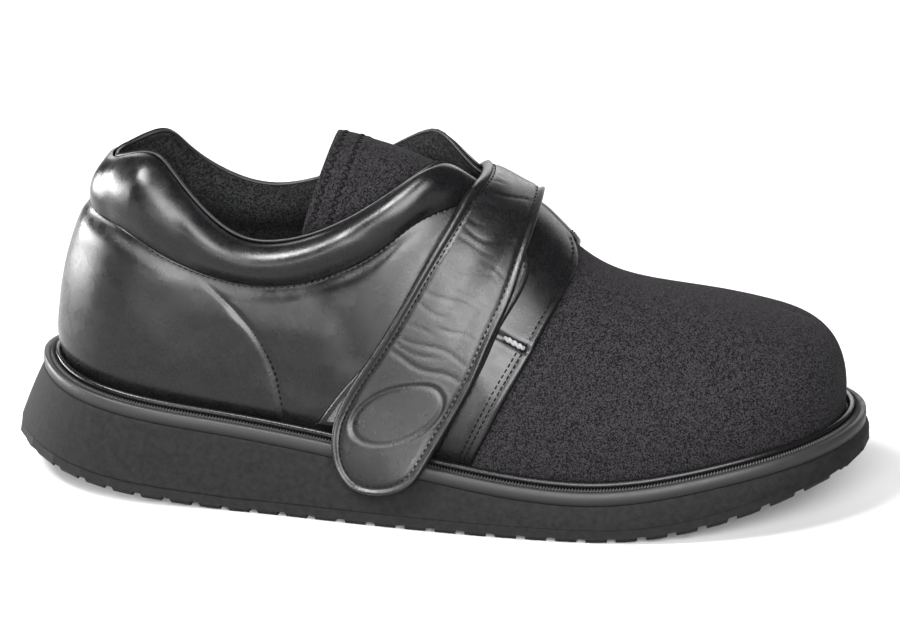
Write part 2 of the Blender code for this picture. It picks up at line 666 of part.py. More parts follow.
def sheet_solid(name, under, over):
    """A closed solid between two grids of points with equal rows and columns."""
    rows, columns = under.shape[:2]
    points = np.vstack([under.reshape(-1, 3), over.reshape(-1, 3)])
    faces = []

    def at(layer, r, c):
        return (layer * rows + r) * columns + c

    for r in range(rows - 1):
        for c in range(columns - 1):
            faces.append((at(1, r, c), at(1, r, c + 1), at(1, r + 1, c + 1), at(1, r + 1, c)))
            faces.append((at(0, r, c), at(0, r + 1, c), at(0, r + 1, c + 1), at(0, r, c + 1)))
    border = [(r, 0) for r in range(rows)]
    border += [(rows - 1, c) for c in range(1, columns)]
    border += [(r, columns - 1) for r in range(rows - 2, -1, -1)]
    border += [(0, c) for c in range(columns - 2, 0, -1)]
    for (r, c), (r2, c2) in zip(border, border[1:] + border[:1]):
        faces.append((at(0, r, c), at(1, r, c), at(1, r2, c2), at(0, r2, c2)))
    return make_object(name, points, faces)


def tongue_grid(drop):
    """The tongue's face, lowered by drop along its arches: arches by points across."""
    stations = np.linspace(0, 1, TONGUE_ARCHES)
    table = np.array(TONGUE)
    order = np.linspace(0, 1, len(table))
    crown, height, half, fall, back = (spline(order, table[:, k], stations) for k in range(5))
    turn = np.radians(np.linspace(-90, 90, TONGUE_COLUMNS))
    grid = np.zeros((len(stations), len(turn), 3))
    for i in range(len(stations)):
        width = half[i] * BALL_WIDTH - drop
        depth = fall[i] * COLLAR_HEIGHT
        sink = (1 - np.cos(turn) ** 0.9) * depth
        grid[i, :, 0] = crown[i] * WELT_LENGTH - back[i] * WELT_LENGTH * (1 - np.cos(turn))
        grid[i, :, 1] = width * np.sin(turn)
        grid[i, :, 2] = height[i] * COLLAR_HEIGHT - drop - sink
    return grid


def build_tongue():
    """The stretch tongue under the throat, arched over the instep."""
    under, over = tongue_grid(TONGUE_THICKNESS), tongue_grid(0.0)
    return sheet_solid("tongue", under, over)


def strap_path(columns, lift):
    """The strap's face, lift above its underside: crossings by columns from rear to front."""
    side, rear, rear_row, front, front_row = np.array(STRAP).T[..., None]
    share = rear + (front - rear) * columns
    rows = rear_row + (front_row - rear_row) * columns
    lateral_lift = LEATHER + column(STRAP_STAND_OFF, 1, rows) * TAB_STAND_OFF + lift
    lifts = (lateral_lift, np.full_like(rows, LEATHER + STRAP_GAP + lift))
    near, far = (
        last_points(share, rows, medial) + last_normals(share, rows, medial) * lifts[medial][..., None]
        for medial in (False, True)
    )
    path = np.where(side[..., None] < 0, near, far)
    run = np.r_[0, np.cumsum(np.linalg.norm(np.diff(path.mean(axis=1), axis=0), axis=1))]
    count = len(run)
    at = np.interp(np.linspace(0, count - 1, STRAP_SPLITS * (count - 1) + 1), np.arange(count), run)
    flat = path.reshape(count, -1)
    fine = np.array([spline(run, flat[:, k], at) for k in range(flat.shape[1])]).T
    return fine.reshape(len(at), len(columns), 3)


def build_strap():
    """The instep strap, from its round tab on the lateral side to its medial root."""
    columns = np.linspace(0, 1, STRAP_COLUMNS)
    under, over = strap_path(columns, 0.0), strap_path(columns, STRAP_THICKNESS)
    return sheet_solid("strap", under, over)


def build_landing():
    """The fastening patch on the lateral quarter, under the strap."""
    table = np.array(LANDING)
    at = np.linspace(0, 1, LANDING_ROWS)
    order = np.linspace(0, 1, len(table))
    rows, rear, front = (spline(order, table[:, k], at) for k in range(3))
    columns = np.linspace(0, 1, LANDING_COLUMNS)
    share = rear[:, None] + (front - rear)[:, None] * columns
    rows = np.repeat(rows[:, None], len(columns), axis=1)
    under = outer_points(share, rows, False, LANDING_GAP)
    over = outer_points(share, rows, False, LANDING_GAP + LANDING_THICKNESS)
    return sheet_solid("landing_patch", under, over)


def centre_on_floor(solids):
    """Moves every solid so that the origin is the middle of their box, on the floor."""
    bpy.context.view_layer.update()
    graph = bpy.context.evaluated_depsgraph_get()
    corners = [Vector(c) for made in solids for c in made.evaluated_get(graph).bound_box]
    low = [min(c[k] for c in corners) for k in range(3)]
    high = [max(c[k] for c in corners) for k in range(3)]
    shift = Vector((-(low[0] + high[0]) / 2, -(low[1] + high[1]) / 2, -low[2]))
    for made in bpy.data.objects:
        made.location = shift


def main():
    for old in list(bpy.data.objects):
        bpy.data.objects.remove(old, do_unlink=True)
    shares = np.linspace(0, 1, SOLE_SHARES)
    solids = [
        build_outsole(shares),
        build_midsole(shares),
        build_welt(shares),
        build_insole(shares),
        build_upper(),
        build_tongue(),
        build_landing(),
        build_strap(),
    ]
    centre_on_floor(solids)


main()
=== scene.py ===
"""Looks of the right walking shoe: skins, seams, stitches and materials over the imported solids.

The skins are worked out in the shoe's construction frame: X from the back of the welt to the toe,
Y to the medial side and Z up from the floor, and then moved by SHIFT into the frame of the solids.
A place on the upper is a share of the way round a side, from the heel to the toe, and a row, the
share of the rib's length from the welt to the top edge. All sizes are in metres, angles in degrees.
"""

import math

import bmesh
import bpy
import numpy as np
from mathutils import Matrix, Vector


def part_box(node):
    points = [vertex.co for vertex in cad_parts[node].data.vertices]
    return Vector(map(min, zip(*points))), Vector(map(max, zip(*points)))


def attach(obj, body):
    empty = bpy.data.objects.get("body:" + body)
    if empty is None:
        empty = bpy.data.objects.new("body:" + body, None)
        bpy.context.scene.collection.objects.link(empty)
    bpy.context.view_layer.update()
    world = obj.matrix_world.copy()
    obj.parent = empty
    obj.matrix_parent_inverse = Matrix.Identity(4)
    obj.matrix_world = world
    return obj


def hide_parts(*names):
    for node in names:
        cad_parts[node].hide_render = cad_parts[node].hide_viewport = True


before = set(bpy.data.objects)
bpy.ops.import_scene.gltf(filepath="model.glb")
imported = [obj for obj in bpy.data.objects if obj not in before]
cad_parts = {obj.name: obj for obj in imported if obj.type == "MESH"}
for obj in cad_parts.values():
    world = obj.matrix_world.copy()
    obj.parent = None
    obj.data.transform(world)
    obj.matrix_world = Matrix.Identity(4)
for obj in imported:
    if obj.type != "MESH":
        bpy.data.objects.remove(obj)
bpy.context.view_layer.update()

# Overall sizes of the shoe, as in the solids.
WELT_LENGTH = 0.2927
BALL_WIDTH = 0.108
HEEL_STACK = 0.038
TOE_SPRING = 0.0185
HEEL_FLARE = 0.0095
COLLAR_HEIGHT = 0.121
WELT_THICKNESS = 0.0050
WELT_WIDTH = 0.0115
WELT_LEDGE = 0.0042
BEAD_WIDTH = 0.0022
BEAD_HEIGHT = 0.0024
OUTSOLE_THICKNESS = 0.0050
WALL = 0.0022
LEATHER = 0.0015
COLLAR_PAD_OUT = 0.0040
COLLAR_PAD_IN = 0.0032
RIM_ROUND = 0.0016
SEAM_PINCH = 0.0014
PINCH_SPREAD = 0.05
FOOT_TUCK = 0.0008
RIM_END = 0.36
PINCH_END = 0.42
LEATHER_TUCK = 0.10
INSOLE_THICKNESS = 0.0050
INSOLE_CUP = 0.0030
INSOLE_SHOULDER = 0.012
TONGUE_THICKNESS = 0.0035
STRAP_THICKNESS = 0.0026
LANDING_THICKNESS = 0.0012
GAP = 0.0003
STRAP_GAP = 0.0013
LANDING_GAP = 0.0006
TAB_STAND_OFF = 0.0100

# Plan of the welt: share of its length from the heel, and share of the ball width, lateral negative.
OUTLINE = (
    (0.000, 0.000), (0.030, -0.215), (0.100, -0.340), (0.220, -0.380), (0.380, -0.438),
    (0.520, -0.497), (0.660, -0.526), (0.800, -0.490), (0.910, -0.375), (0.980, -0.175),
    (1.000, 0.060), (0.965, 0.290), (0.870, 0.445), (0.740, 0.490), (0.600, 0.430),
    (0.460, 0.345), (0.320, 0.322), (0.200, 0.345), (0.100, 0.325), (0.030, 0.212),
)

# Side view of the sole. Columns: share of the welt's length, underside of the welt as a share of
# HEEL_STACK, lift of the tread off the floor as a share of TOE_SPRING, side flare as a share of
# HEEL_FLARE.
SOLE = (
    (-0.040, 1.03, 0.75, 1.00), (0.000, 1.00, 0.58, 1.00), (0.030, 0.93, 0.46, 0.90),
    (0.080, 0.85, 0.30, 0.72), (0.180, 0.745, 0.10, 0.55), (0.260, 0.680, 0.0, 0.47),
    (0.400, 0.565, 0.0, 0.42), (0.520, 0.430, 0.0, 0.34), (0.620, 0.345, 0.0, 0.27),
    (0.700, 0.335, 0.0, 0.24), (0.780, 0.415, 0.12, 0.21), (0.860, 0.535, 0.41, 0.19),
    (0.930, 0.625, 0.73, 0.17), (1.000, 0.700, 1.00, 0.16),
)

# Top edge of the upper. Columns: share of the way round each side from the heel; then for the
# lateral and again for the medial side, place along as a share of WELT_LENGTH, place across as a
# share of BALL_WIDTH and height as a share of COLLAR_HEIGHT.
TOPLINE = (
    (0.000, 0.092, 0.000, 0.955, 0.092, 0.000, 0.955),
    (0.020, 0.0935, -0.036, 0.956, 0.0935, 0.036, 0.955),
    (0.050, 0.101, -0.084, 0.964, 0.101, 0.084, 0.957),
    (0.100, 0.140, -0.154, 0.998, 0.135, 0.156, 0.980),
    (0.170, 0.182, -0.212, 0.938, 0.172, 0.220, 0.905),
    (0.230, 0.232, -0.258, 0.825, 0.226, 0.264, 0.815),
    (0.290, 0.306, -0.282, 0.782, 0.300, 0.284, 0.800),
    (0.320, 0.364, -0.278, 0.824, 0.352, 0.278, 0.845),
    (0.350, 0.432, -0.248, 0.920, 0.414, 0.246, 0.930),
    (0.370, 0.478, -0.205, 0.996, 0.458, 0.204, 0.994),
    (0.385, 0.504, -0.150, 1.003, 0.486, 0.160, 0.999),
    (0.400, 0.531, -0.090, 0.944, 0.519, 0.098, 0.942),
    (0.420, 0.556, -0.072, 0.908, 0.549, 0.076, 0.906),
    (0.440, 0.574, -0.056, 0.884, 0.570, 0.060, 0.882),
    (0.470, 0.601, 0.010, 0.846, 0.601, 0.010, 0.846),
    (0.495, 0.622, 0.012, 0.803, 0.622, 0.012, 0.803),
    (0.525, 0.648, 0.016, 0.736, 0.648, 0.016, 0.736),
    (0.570, 0.680, 0.022, 0.672, 0.680, 0.022, 0.672),
    (0.615, 0.710, 0.030, 0.636, 0.710, 0.030, 0.636),
    (0.700, 0.774, 0.045, 0.600, 0.774, 0.045, 0.600),
    (0.765, 0.815, 0.056, 0.584, 0.815, 0.056, 0.584),
    (0.850, 0.859, 0.070, 0.564, 0.859, 0.070, 0.564),
    (0.930, 0.890, 0.082, 0.547, 0.890, 0.082, 0.547),
    (1.000, 0.907, 0.088, 0.534, 0.907, 0.088, 0.534),
)

# Cross sections of the last. Columns: share of the way round; angle that the section's arc turns
# through; its squareness; how far its belly stands out, as a share of BALL_WIDTH; how late the rib
# leans forward as it rises.
SECTIONS = (
    (0.00, 34, 2.0, 0.014, 1.0), (0.10, 40, 2.0, 0.014, 1.0), (0.20, 50, 2.0, 0.010, 1.0),
    (0.30, 58, 2.0, 0.006, 1.1), (0.36, 68, 2.0, 0.004, 1.15), (0.385, 78, 2.0, 0.004, 1.15),
    (0.40, 86, 2.0, 0.004, 1.15), (0.42, 88, 2.0, 0.004, 1.2), (0.44, 89, 2.0, 0.004, 1.2),
    (0.47, 90, 2.0, 0.004, 1.2), (0.495, 90, 2.0, 0.004, 1.2),
    (0.56, 90, 2.1, 0.006, 1.15), (0.70, 90, 2.3, 0.012, 1.1), (0.85, 90, 2.4, 0.010, 1.0),
    (1.00, 90, 2.5, 0.008, 1.0),
)

# Front edge of the facing: share of the rib's length, and share of the way round.
FACING = (
    (0.00, 0.520), (0.16, 0.5275), (0.31, 0.5325), (0.44, 0.5370), (0.57, 0.5390), (0.69, 0.5410),
    (0.80, 0.5405), (0.88, 0.5375), (0.94, 0.5290), (1.00, 0.5130),
)
FACING_FOOT = 0.520
THROAT_END = 0.470
RIDGE_START = 0.38

# Collar: height of its seam up each rib, and how full its padding is, by share of the way round.
COLLAR_SEAM = (
    (0.00, 0.76), (0.04, 0.75), (0.09, 0.69), (0.14, 0.66), (0.18, 0.67), (0.22, 0.71), (0.26, 0.75),
    (0.30, 0.75), (0.34, 0.72), (0.365, 0.71), (0.385, 0.77), (0.40, 0.86), (0.42, 0.90), (1.00, 0.90),
)
COLLAR_PAD = (
    (0.00, 0.15), (0.05, 0.50), (0.12, 1.0), (0.30, 1.0), (0.36, 0.85), (0.38, 0.55), (0.40, 0.12),
    (0.42, 0.0), (1.00, 0.0),
)

# Tongue, one row for each arch from its hidden front to its free end. Columns: crown as a share of
# WELT_LENGTH; crown height as a share of COLLAR_HEIGHT; half width as a share of BALL_WIDTH; drop
# of the side edges as a share of COLLAR_HEIGHT; how far back the side edges sit, as a share of
# WELT_LENGTH.
TONGUE = (
    (0.665, 0.660, 0.145, 0.120, 0.016),
    (0.610, 0.772, 0.145, 0.145, 0.020),
    (0.550, 0.872, 0.162, 0.180, 0.026),
    (0.485, 0.955, 0.175, 0.210, 0.030),
    (0.421, 1.012, 0.194, 0.238, 0.032),
    (0.360, 1.045, 0.205, 0.265, 0.032),
)

# Strap, one row for each crossing from the tab's tip over the instep to the medial root. Columns:
# side (-1 lateral, 1 medial); then for its rear edge and again for its front edge, share of the way
# round and share of the rib's length, or below the rib's foot as a share of COLLAR_HEIGHT if negative.
STRAP = (
    (-1, 0.400, -0.075, 0.429, -0.106), (-1, 0.391, -0.039, 0.446, -0.100),
    (-1, 0.387, 0.016, 0.467, -0.064), (-1, 0.381, 0.085, 0.483, -0.010), (-1, 0.385, 0.200, 0.491, 0.085),
    (-1, 0.393, 0.320, 0.499, 0.215), (-1, 0.397, 0.430, 0.502, 0.315), (-1, 0.399, 0.570, 0.500, 0.450),
    (-1, 0.400, 0.720, 0.499, 0.600), (-1, 0.400, 0.850, 0.489, 0.755), (-1, 0.399, 0.930, 0.481, 0.885),
    (-1, 0.401, 1.000, 0.471, 1.000), (1, 0.403, 0.960, 0.475, 0.940), (1, 0.403, 0.870, 0.485, 0.815),
    (1, 0.400, 0.760, 0.492, 0.680), (1, 0.400, 0.620, 0.497, 0.530), (1, 0.397, 0.480, 0.500, 0.390),
    (1, 0.392, 0.340, 0.499, 0.260), (1, 0.387, 0.210, 0.495, 0.150), (1, 0.383, 0.080, 0.490, 0.060),
)
STRAP_STAND_OFF = (
    (-0.110, 1.00), (-0.040, 0.96), (0.000, 0.88), (0.050, 0.66), (0.100, 0.46), (0.160, 0.30),
    (0.220, 0.25), (0.300, 0.23), (0.600, 0.23), (0.780, 0.22), (0.880, 0.15), (1.000, 0.13),
)

# Landing patch, one row for each crossing: row, and the shares of its rear and front edges.
LANDING = (
    (0.035, 0.360, 0.489), (0.090, 0.366, 0.4925), (0.180, 0.3775, 0.4965), (0.340, 0.397, 0.5025),
    (0.490, 0.402, 0.5025), (0.620, 0.405, 0.505), (0.710, 0.407, 0.503), (0.750, 0.412, 0.495),
    (0.775, 0.430, 0.475),
)

# Counter seam on each quarter, from the collar's seam down to the welt: share and row.
COUNTER_SEAM = (
    (0.2125, 0.690), (0.235, 0.680), (0.260, 0.630), (0.2825, 0.520), (0.2975, 0.400), (0.310, 0.270),
    (0.315, 0.200), (0.330, 0.000),
)

# Soft folds of the quarters' leather. Columns: start share and row, end share and
# row, half width, and height in metres, negative for a trough.
QUARTER_FOLDS = (
    (0.060, 0.640, 0.170, 0.560, 0.0060, 0.00048),
    (0.150, 0.600, 0.215, 0.380, 0.0075, -0.00042),
    (0.030, 0.150, 0.110, 0.100, 0.0060, 0.00036),
    (0.160, 0.180, 0.270, 0.120, 0.0080, -0.00036),
    (0.265, 0.600, 0.335, 0.470, 0.0060, 0.00042),
    (0.330, 0.640, 0.375, 0.300, 0.0055, -0.00048),
    (0.345, 0.560, 0.352, 0.300, 0.0040, 0.00036),
    (0.300, 0.300, 0.360, 0.150, 0.0060, -0.00036),
    (0.505, 0.425, 0.526, 0.415, 0.0022, -0.00030),
    (0.500, 0.330, 0.525, 0.260, 0.0040, 0.00024),
)

# Soft folds of the padded collar, in the same columns.
COLLAR_FOLDS = (
    (0.055, 0.980, 0.085, 0.740, 0.0045, -0.00070),
    (0.120, 0.930, 0.150, 0.720, 0.0050, 0.00042),
    (0.175, 0.950, 0.205, 0.760, 0.0042, -0.00049),
    (0.340, 0.900, 0.365, 0.780, 0.0040, -0.00042),
    (0.372, 0.960, 0.392, 0.860, 0.0035, 0.00042),
)

# Creases across the strap. Columns: distance from the tab's tip in metres, share of the width where
# the crease starts and where it ends, slant along the strap in metres, half width and depth.
STRAP_CREASES = (
    (0.0480, 0.12, 0.95, 0.0040, 0.0012, 0.00050), (0.0520, 0.10, 0.60, 0.0045, 0.0008, 0.00036),
    (0.0550, 0.16, 0.98, 0.0050, 0.0009, 0.00036), (0.0590, 0.10, 0.45, 0.0030, 0.0007, 0.00028),
    (0.0630, 0.45, 0.96, 0.0035, 0.0008, 0.00030), (0.0670, 0.08, 0.50, 0.0040, 0.0008, 0.00030),
    (0.0720, 0.10, 0.90, 0.0045, 0.0009, 0.00036), (0.0760, 0.40, 0.95, 0.0040, 0.0008, 0.00028),
    (0.0800, 0.06, 0.42, 0.0030, 0.0007, 0.00030), (0.0840, 0.10, 0.80, 0.0045, 0.0009, 0.00036),
    (0.0880, 0.50, 0.96, 0.0030, 0.0008, 0.00026), (0.0925, 0.06, 0.60, 0.0040, 0.0008, 0.00034),
    (0.0970, 0.10, 0.90, 0.0045, 0.0010, 0.00038), (0.1010, 0.06, 0.40, 0.0030, 0.0007, 0.00028),
    (0.1050, 0.30, 0.95, 0.0040, 0.0009, 0.00030), (0.1100, 0.05, 0.55, 0.0040, 0.0008, 0.00034),
    (0.1160, 0.07, 0.85, 0.0045, 0.0010, 0.00034), (0.1215, 0.06, 0.40, 0.0035, 0.0008, 0.00036),
    (0.1255, 0.06, 0.36, 0.0035, 0.0007, 0.00036), (0.1300, 0.05, 0.34, 0.0030, 0.0007, 0.00034),
    (0.1720, 0.06, 0.80, 0.0040, 0.0010, 0.00034), (0.1850, 0.30, 0.94, 0.0040, 0.0010, 0.00030),
)

# Plain oval pressed into the strap's tab: its middle as metres from the tip and share of the width,
# its half lengths, its turn from the strap's width, its groove's half width and depth, and the
# height of the lip outside it.
OVAL_ALONG = 0.0295
OVAL_ACROSS = 0.51
OVAL_HALF_LONG = 0.0165
OVAL_HALF_SHORT = 0.0090
OVAL_TURN = 50.0
OVAL_RIM = 0.00050
OVAL_DEPTH = 0.00050
OVAL_LIP = 0.00015

# How much of the creases' widths and depths is kept, and how far each one waves.
CREASE_WIDTH = 0.7
CREASE_DEPTH = 0.55
CREASE_WAVE = 0.0008

# Strap: points along and across, rounds of easing, its rounded tip, its folded rim and its edge.
STRAP_CROSSINGS = 280
STRAP_COLUMNS = 64
STRAP_EASE_ROUNDS = 90
TIP_CROSSINGS = 44
TIP_LENGTH = 0.021
TIP_BOW = 0.0016
TIP_ROWS = 3
STRAP_RIM = 0.0022
STRAP_STITCH_INSET = 0.0032
STRAP_EDGE_ROUND = 0.0012
STRAP_EDGE_SHARE = 0.35

# Landing patch: its leather edge, points along and across, the round of its edge and its pile.
PATCH_EDGE = 0.0026
PATCH_ROWS = 130
PATCH_COLUMNS = 60
PATCH_ROUND = 0.0012
PILE_SEED = 5
PILE_HEIGHT = 0.00012

# Quarters: points up each rib and over a turned edge, how far the top edge turns over in rows, how
# deep the edges sink, and the row and share from which the folds and the rim's end fade.
QUARTER_ROWS = 100
EDGE_STEPS = 5
TOP_TURN = 0.012
EDGE_SINK = 0.0006
FOLDS_START = 0.05
RIM_BLEND_START = 0.42

# Counter seam: half width and depth of its line, the distance over which it begins, and the swell of
# the leather behind it, with its top row, its reach and the distance at which it starts.
COUNTER_WIDTH = 0.0008
COUNTER_DEPTH = 0.0007
COUNTER_BEGINS = (0.002, 0.018)
COUNTER_SWELL = 0.0008
COUNTER_SWELL_TOP = 0.72
COUNTER_SWELL_REACH = 0.012
COUNTER_SWELL_START = 0.0024

# Collar: share where its skins end, shares between which the quarter takes over, points up its face,
# its height for the edges' rounding, its swell, how deep its seam is tucked, its piping and how high
# that sits on the rim, and the depth of the lining at the crest.
COLLAR_FRONT = 0.446
COLLAR_ENDS = (0.425, 0.445)
COLLAR_ROWS = 44
COLLAR_BAND = 0.030
COLLAR_SWELL = 0.0010
COLLAR_TUCK = 0.0016
PIPING_RADIUS = 0.0006
PIPING_SEAT = 0.55
CREST_DEPTH = 0.0004
LINING_ROWS = 50

# Vamp: share where it starts under the facing, the share its points are counted for, points up each
# rib, and how strongly, how far out and how often its ridge is eased.
VAMP_START = 0.498
VAMP_SHARE = 0.51
VAMP_ROWS = 84
RIDGE_EASE = 0.6
RIDGE_EASE_REACH = 0.016
RIDGE_EASE_ROUNDS = 60

# Tongue: points each way, the band on its free end and the zigzag that sews it.
TONGUE_STEPS = 110
BAND_WIDTH = 0.0125
BAND_RELIEF = 0.0004
BAND_PRESS_INSET = 0.0032
ZIGZAG_INSET = 0.0036
ZIGZAG_PITCH = 0.0032
ZIGZAG_WIDTH = 0.0024
ZIGZAG_LIFT = 0.0002
ZIGZAG_RADIUS = 0.00030

# Stitches: sizes, how thick and deep their ends are as shares of their radius, and how far they bow.
STITCH_LENGTH = 0.0016
STITCH_PITCH = 0.0022
STITCH_RADIUS = 0.00028
STITCH_LIFT = 0.00012
STITCH_TIP = 0.45
STITCH_DIP = 1.1
STITCH_BOW = 1.5
STITCH_SIDES = 6
STITCH_RINGS = (0.0, 0.12, 0.35, 0.65, 0.88, 1.0)
FACING_STITCH_INSET = 0.0018
FACING_SECOND_INSET = 0.0036
FACING_POINTS = 60

# Bar tacks: row, shares of the pressed line and of the cord, slant, size, twist and the fold above.
TACK_ROW = 0.470
TACK_SHARES = (0.488, 0.5335)
TACK_CORD_SHARES = (0.5085, 0.5330)
TACK_SLANT = 0.35
TACK_RADIUS = 0.0010
TACK_LIFT = 0.0006
TACK_TWIST = 26
TACK_RINGS = 60
TACK_FOLD = 0.0010

# Welt and midsole: teeth of the mock stitching, height of the bead's middle as a share of its own
# height, swell of the foam's side, and how far the foam's skin returns under and over.
TOOTH_PITCH = 0.0011
TOOTH_HEIGHT = 0.0010
BEAD_MIDDLE = 0.42
FOAM_SWELL = 0.0004
FOAM_RETURN = 0.012

# Fineness of the skins, and the distance under which points are joined.
FINE = 0.0008
COARSE = 0.0016
OUTLINE_SAMPLES = 2401
RIB_SAMPLES = 49
SHARE_STEP = 0.006
ROW_STEP = 0.04
TUBE_SIDES = 12
MERGE_DISTANCE = 0.00002

# Camera: the photograph's view of the shoe.
TARGET = (0.00484, -0.00838, 0.055)
AZIMUTH = 8.0
ELEVATION = 19.5
DISTANCE = 1.7
LENS = 193.8
SHIFT_UP = 0.02

# Tones: how much lighter the painted highlight flecks on the leather's grain are, the floor's grey and half
# width, and the sky.
LEATHER_GLINT_LIFT = 4.0
FLOOR_TONE = 0.35
FLOOR_HALF = 3.0
SKY_STRENGTH = 0.12

# Lights. Columns: name, turn round the shoe from its lateral side and height above the floor in
# degrees, distance, power, width and height. They face LIGHT_MIDDLE.
LIGHT_MIDDLE = (0.0, 0.0, 0.05)
LIGHTS = (
    ("front_panel", 13.0, 25.0, 2.3, 265.0, 1.9, 1.7),
    ("low_panel", -21.0, 3.0, 1.5, 5.0, 0.45, 0.12),
    ("left_panel", -100.0, 5.0, 1.3, 58.0, 1.0, 0.42),
    ("upper_left_panel", -48.0, 54.0, 1.3, 58.0, 0.55, 0.40),
    ("back_panel", 178.0, 24.0, 2.1, 46.0, 3.0, 1.3),
)


def spline(knots, values, at):
    """Natural cubic spline through the values at the knots, read at the places in at."""
    knots, values, at = (np.asarray(part, float) for part in (knots, values, at))
    step = np.diff(knots)
    count = len(knots)
    matrix, right = np.eye(count), np.zeros(count)
    for i in range(1, count - 1):
        matrix[i, i - 1 : i + 2] = step[i - 1], 2 * (step[i - 1] + step[i]), step[i]
        right[i] = 6 * ((values[i + 1] - values[i]) / step[i] - (values[i] - values[i - 1]) / step[i - 1])
    bend = np.linalg.solve(matrix, right)
    i = np.clip(np.searchsorted(knots, at) - 1, 0, count - 2)
    a, b = (knots[i + 1] - at) / step[i], (at - knots[i]) / step[i]
    cubic = ((a**3 - a) * bend[i] + (b**3 - b) * bend[i + 1]) * step[i] ** 2 / 6
    return a * values[i] + b * values[i + 1] + cubic


def column(table, number, at):
    """One column of a table of stations, read smoothly at the stations in at."""
    rows = np.array(table)
    return spline(rows[:, 0], rows[:, number], at)


def smooth_step(value, low, high):
    """0 below low, 1 above high, and a smooth rise between them."""
    t = np.clip((np.asarray(value, float) - low) / (high - low), 0, 1)
    return t * t * (3 - 2 * t)


def dense_outline():
    """The welt's plan as a fine closed loop, from the heel round the lateral side."""
    points = np.array(OUTLINE) * (WELT_LENGTH, BALL_WIDTH)
    wrapped = np.vstack([points[-4:], points, points[:5]])
    chord = np.r_[0, np.cumsum(np.linalg.norm(np.diff(wrapped, axis=0), axis=1))]
    start, end = chord[4], chord[4 + len(points)]
    at = np.linspace(start, end, OUTLINE_SAMPLES)
    return np.c_[spline(chord, wrapped[:, 0], at), spline(chord, wrapped[:, 1], at)]


PLAN = dense_outline()
HALF_ROUND = float(np.sum(np.linalg.norm(np.diff(PLAN, axis=0), axis=1)) / 2)


def half_outline(shares, medial):
    """Points and outward normals of one side of the welt's plan at shares of its length."""
    toe = int(np.argmax(PLAN[:, 0]))
    side = PLAN[toe:][::-1] if medial else PLAN[: toe + 1]
    run = np.r_[0, np.cumsum(np.linalg.norm(np.diff(side, axis=0), axis=1))]
    at = np.asarray(shares) * run[-1]
    points = np.c_[np.interp(at, run, side[:, 0]), np.interp(at, run, side[:, 1])]
    tangent = np.gradient(side, run, axis=0)
    tangent = np.c_[np.interp(at, run, tangent[:, 0]), np.interp(at, run, tangent[:, 1])]
    turn = -1 if medial else 1
    normals = np.c_[tangent[:, 1], -tangent[:, 0]] * turn
    normals /= np.linalg.norm(normals, axis=1, keepdims=True)
    ends = (np.asarray(shares) <= 0) | (np.asarray(shares) >= 1)
    normals[ends] = np.c_[np.where(np.asarray(shares) <= 0, -1, 1), np.zeros(len(shares))][ends]
    return points, normals


def ring(shares):
    """Closed loop of plan points and normals: lateral side to the toe, then back along the medial."""
    near, near_normals = half_outline(shares, medial=False)
    far, far_normals = half_outline(shares, medial=True)
    return np.vstack([near, far[-2:0:-1]]), np.vstack([near_normals, far_normals[-2:0:-1]])


def welt_underside(x):
    return column(SOLE, 1, x / WELT_LENGTH) * HEEL_STACK


def tread_lift(x):
    return np.maximum(column(SOLE, 2, x / WELT_LENGTH), 0) * TOE_SPRING


def side_flare(x):
    return column(SOLE, 3, x / WELT_LENGTH) * HEEL_FLARE


def outsole_top(x):
    return tread_lift(x) + OUTSOLE_THICKNESS


def feather_inset():
    """How far the foot of the upper stands inside the welt's edge."""
    return WELT_LEDGE + BEAD_WIDTH + GAP + FOOT_TUCK


def rib_tops(shares, medial):
    """Tops of the ribs on one side, on the collar's rim, the throat's edge or the vamp's ridge."""
    sizes = (WELT_LENGTH, BALL_WIDTH, COLLAR_HEIGHT)
    sides = [
        np.stack([column(TOPLINE, first + k, shares) * sizes[k] for k in range(3)], axis=-1)
        for first in (1, 4)
    ]
    closed = (np.asarray(shares) >= THROAT_END - 1e-9)[:, None]
    return np.where(closed, (sides[0] + sides[1]) / 2, sides[1 if medial else 0])


